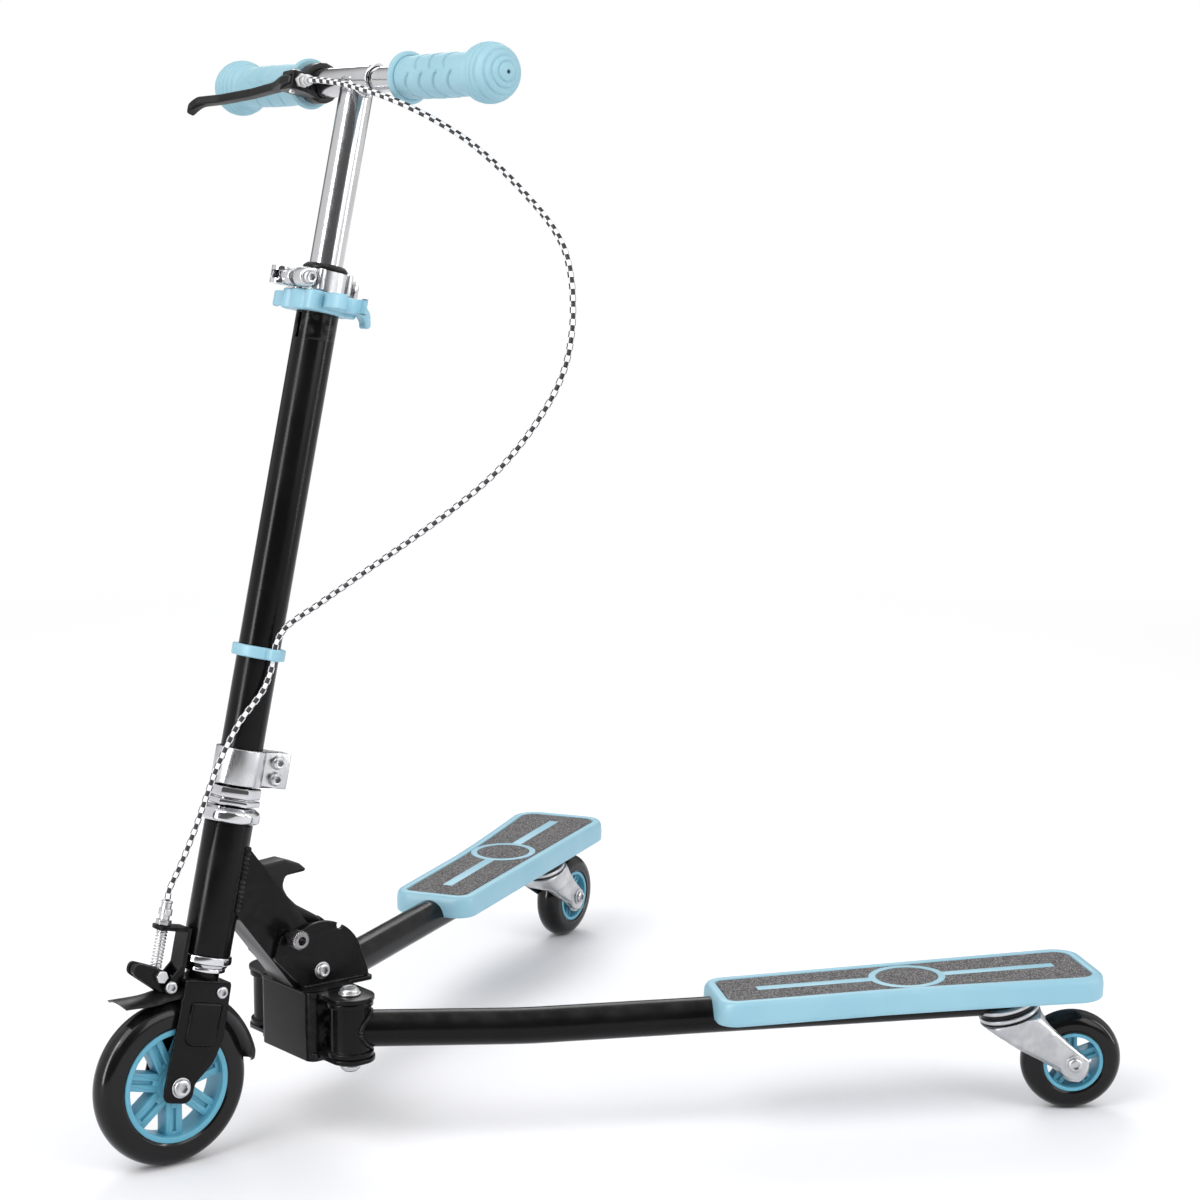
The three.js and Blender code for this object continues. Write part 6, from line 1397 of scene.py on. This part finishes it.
def keptGroup(name, welds):
    # welds the faceted export, then marks as sharp the edges whose faces meet at over 32 degrees
    group = bpy.data.node_groups.new(name, "GeometryNodeTree")
    group.interface.new_socket("Geometry", in_out="INPUT", socket_type="NodeSocketGeometry")
    group.interface.new_socket("Geometry", in_out="OUTPUT", socket_type="NodeSocketGeometry")
    add = group.nodes.new
    start, end, smooth, edges, angle, small = (add(kind)
        for kind in ("NodeGroupInput", "NodeGroupOutput", "GeometryNodeSetShadeSmooth",
        "GeometryNodeSetShadeSmooth", "GeometryNodeInputMeshEdgeAngle", "FunctionNodeCompare"))
    edges.domain = "EDGE"
    small.operation = "LESS_THAN"
    small.inputs[1].default_value = math.radians(32)
    link = group.links.new
    link(angle.outputs["Unsigned Angle"], small.inputs[0])
    link(small.outputs[0], edges.inputs["Shade Smooth"])
    source = start.outputs[0]
    if welds:
        merge = add("GeometryNodeMergeByDistance")
        merge.inputs["Distance"].default_value = 0.00002
        link(source, merge.inputs["Geometry"])
        source = merge.outputs[0]
    link(source, smooth.inputs["Geometry"])
    link(smooth.outputs[0], edges.inputs["Geometry"])
    link(edges.outputs[0], end.inputs[0])
    return group


weldFirst, smoothLast = keptGroup("weldedEdges", True), keptGroup("smoothEdges", False)
for name, (finishName, width) in kept.items():
    piece = bpy.data.objects[name]
    piece.data.materials.clear()
    piece.data.materials.append(finishOf(finishName))
    piece.modifiers.new("welded", "NODES").node_group = weldFirst
    bevel = piece.modifiers.new("rounded", "BEVEL")
    bevel.width, bevel.segments, bevel.miter_outer = width / toMillimetres, 3, "MITER_ARC"
    bevel.limit_method, bevel.angle_limit = "ANGLE", math.radians(38)
    piece.modifiers.new("smooth", "NODES").node_group = smoothLast
print("kept pieces done")


# Floor, light and camera

stageValues = {"floorReach": 14.0, "floorPale": screen(247, 247, 250), "fadeFrom": 1.1, "fadeTo": 3.2,
    "worldLight": 0.62, "reflection": 0.95, "reflectionDark": 0.12, "darkToward": (1.72, -1.27, 0.3),
    "patchFrom": 0.42, "patchTo": 0.88}


def floorMaterial():
    # the floor keeps the shadow near the object and fades to plain white further out
    material = bpy.data.materials.new("paleFloor")
    material.use_nodes = True
    tree = material.node_tree
    surface = tree.nodes["Principled BSDF"]
    surface.inputs["Base Color"].default_value = stageValues["floorPale"]
    surface.inputs["Roughness"].default_value = 0.75
    place = node(tree, "NewGeometry")
    apart = node(tree, "SeparateXYZ")
    tree.links.new(place.outputs["Position"], apart.inputs[0])
    squares = [maths(tree, "MULTIPLY", apart.outputs[i], apart.outputs[i]) for i in range(2)]
    distance = maths(tree, "SQRT", maths(tree, "ADD", *squares))
    share = node(tree, "MapRange")
    share.interpolation_type = "SMOOTHSTEP"
    share.inputs["From Min"].default_value = stageValues["fadeFrom"]
    share.inputs["From Max"].default_value = stageValues["fadeTo"]
    tree.links.new(distance, share.inputs["Value"])
    white = node(tree, "Emission")
    white.inputs["Color"].default_value = (1, 1, 1, 1)
    mix = node(tree, "MixShader")
    tree.links.new(share.outputs["Result"], mix.inputs[0])
    tree.links.new(surface.outputs[0], mix.inputs[1])
    tree.links.new(white.outputs[0], mix.inputs[2])
    tree.links.new(mix.outputs[0], tree.nodes["Material Output"].inputs["Surface"])
    return material


def addFloor():
    reach = stageValues["floorReach"]
    mesh = bpy.data.meshes.new("floor")
    mesh.from_pydata([(-reach, -reach, 0), (reach, -reach, 0), (reach, reach, 0), (-reach, reach, 0)], [],
        [(0, 1, 2, 3)])
    floor = bpy.data.objects.new("floor", mesh)
    bpy.context.scene.collection.objects.link(floor)
    mesh.materials.append(floorMaterial())


def lightWorld():
    # camera, glossy and transmission rays see white; the glossy white darkens along one direction and its
    # opposite, for contrast on the tubes
    world = bpy.data.worlds.new("studio")
    bpy.context.scene.world = world
    world.use_nodes = True
    tree = world.node_tree
    background = tree.nodes["Background"]
    path = node(tree, "LightPath")
    seen = maths(tree, "ADD", path.outputs["Is Camera Ray"], path.outputs["Is Transmission Ray"], True)
    toward = node(tree, "VectorMath", {"operation": "DOT_PRODUCT"})
    tree.links.new(node(tree, "TexCoord").outputs["Generated"], toward.inputs[0])
    toward.inputs[1].default_value = unit(stageValues["darkToward"]).tolist()
    patch = node(tree, "MapRange")
    patch.interpolation_type = "SMOOTHSTEP"
    limits = {"From Min": "patchFrom", "From Max": "patchTo", "To Min": "reflection",
        "To Max": "reflectionDark"}
    for label, key in limits.items():
        patch.inputs[label].default_value = stageValues[key]
    tree.links.new(maths(tree, "ABSOLUTE", toward.outputs["Value"]), patch.inputs["Value"])
    glossy = maths(tree, "MULTIPLY", path.outputs["Is Glossy Ray"], patch.outputs["Result"])
    other = maths(tree, "SUBTRACT", 1.0, maths(tree, "ADD", seen, path.outputs["Is Glossy Ray"], True), True)
    strength = maths(tree, "ADD", maths(tree, "ADD", seen, glossy),
        maths(tree, "MULTIPLY", other, stageValues["worldLight"]))
    tree.links.new(strength, background.inputs["Strength"])
    background.inputs["Color"].default_value = (1, 1, 1, 1)


def addLight(name, place, aim, size, power, diffuse=True):
    lamp = bpy.data.lights.new(name, "AREA")
    lamp.shape, lamp.size, lamp.size_y, lamp.energy = "RECTANGLE", size[0], size[1], power
    light = bpy.data.objects.new(name, lamp)
    light.location = place
    light.visible_diffuse = diffuse
    direction = unit(np.array(aim, float) - np.array(place, float))
    light.rotation_euler = Vector(direction.tolist()).to_track_quat("-Z", "Y").to_euler()
    bpy.context.scene.collection.objects.link(light)


# the two tall lamps draw the long highlights on the tubes; only reflections show them
lights = {
    "keyLight": {"place": (0.4, -1.9, 2.6), "aim": (0, -0.1, 0.35), "size": (1.8, 1.8), "power": 46},
    "sideLight": {"place": (2.6, 0.6, 1.7), "aim": (0, 0, 0.3), "size": (1.4, 2.0), "power": 26},
    "backLight": {"place": (-2.0, 1.6, 2.2), "aim": (0, 0, 0.4), "size": (1.6, 1.6), "power": 30},
    "leftStrip": {"place": (0.1, -2.1, 1.0), "aim": (0, 0, 0.5), "size": (0.36, 1.9), "power": 34,
        "diffuse": False},
    "rightStrip": {"place": (1.75, 1.8, 1.0), "aim": (0, 0, 0.5), "size": (0.2, 1.9), "power": 16,
        "diffuse": False},
}
camera = {"place": (1.7189, -1.2713, 0.7108), "heading": 51.47, "pitch": -8.58, "lens": 81.35,
    "shift": (0.010, 0.0106)}


def addCamera():
    lens = bpy.data.cameras.new("camera")
    lens.lens, lens.sensor_width, lens.shift_x, lens.shift_y = camera["lens"], 36, *camera["shift"]
    lens.clip_end = 60
    eye = bpy.data.objects.new("camera", lens)
    eye.location = camera["place"]
    eye.rotation_euler = (math.radians(90 + camera["pitch"]), 0, math.radians(camera["heading"]))
    bpy.context.scene.collection.objects.link(eye)
    bpy.context.scene.camera = eye


addFloor()
lightWorld()
for name, values in lights.items():
    addLight(name, **values)
addCamera()
bpy.context.scene.view_settings.view_transform = "Standard"
print("stage done")
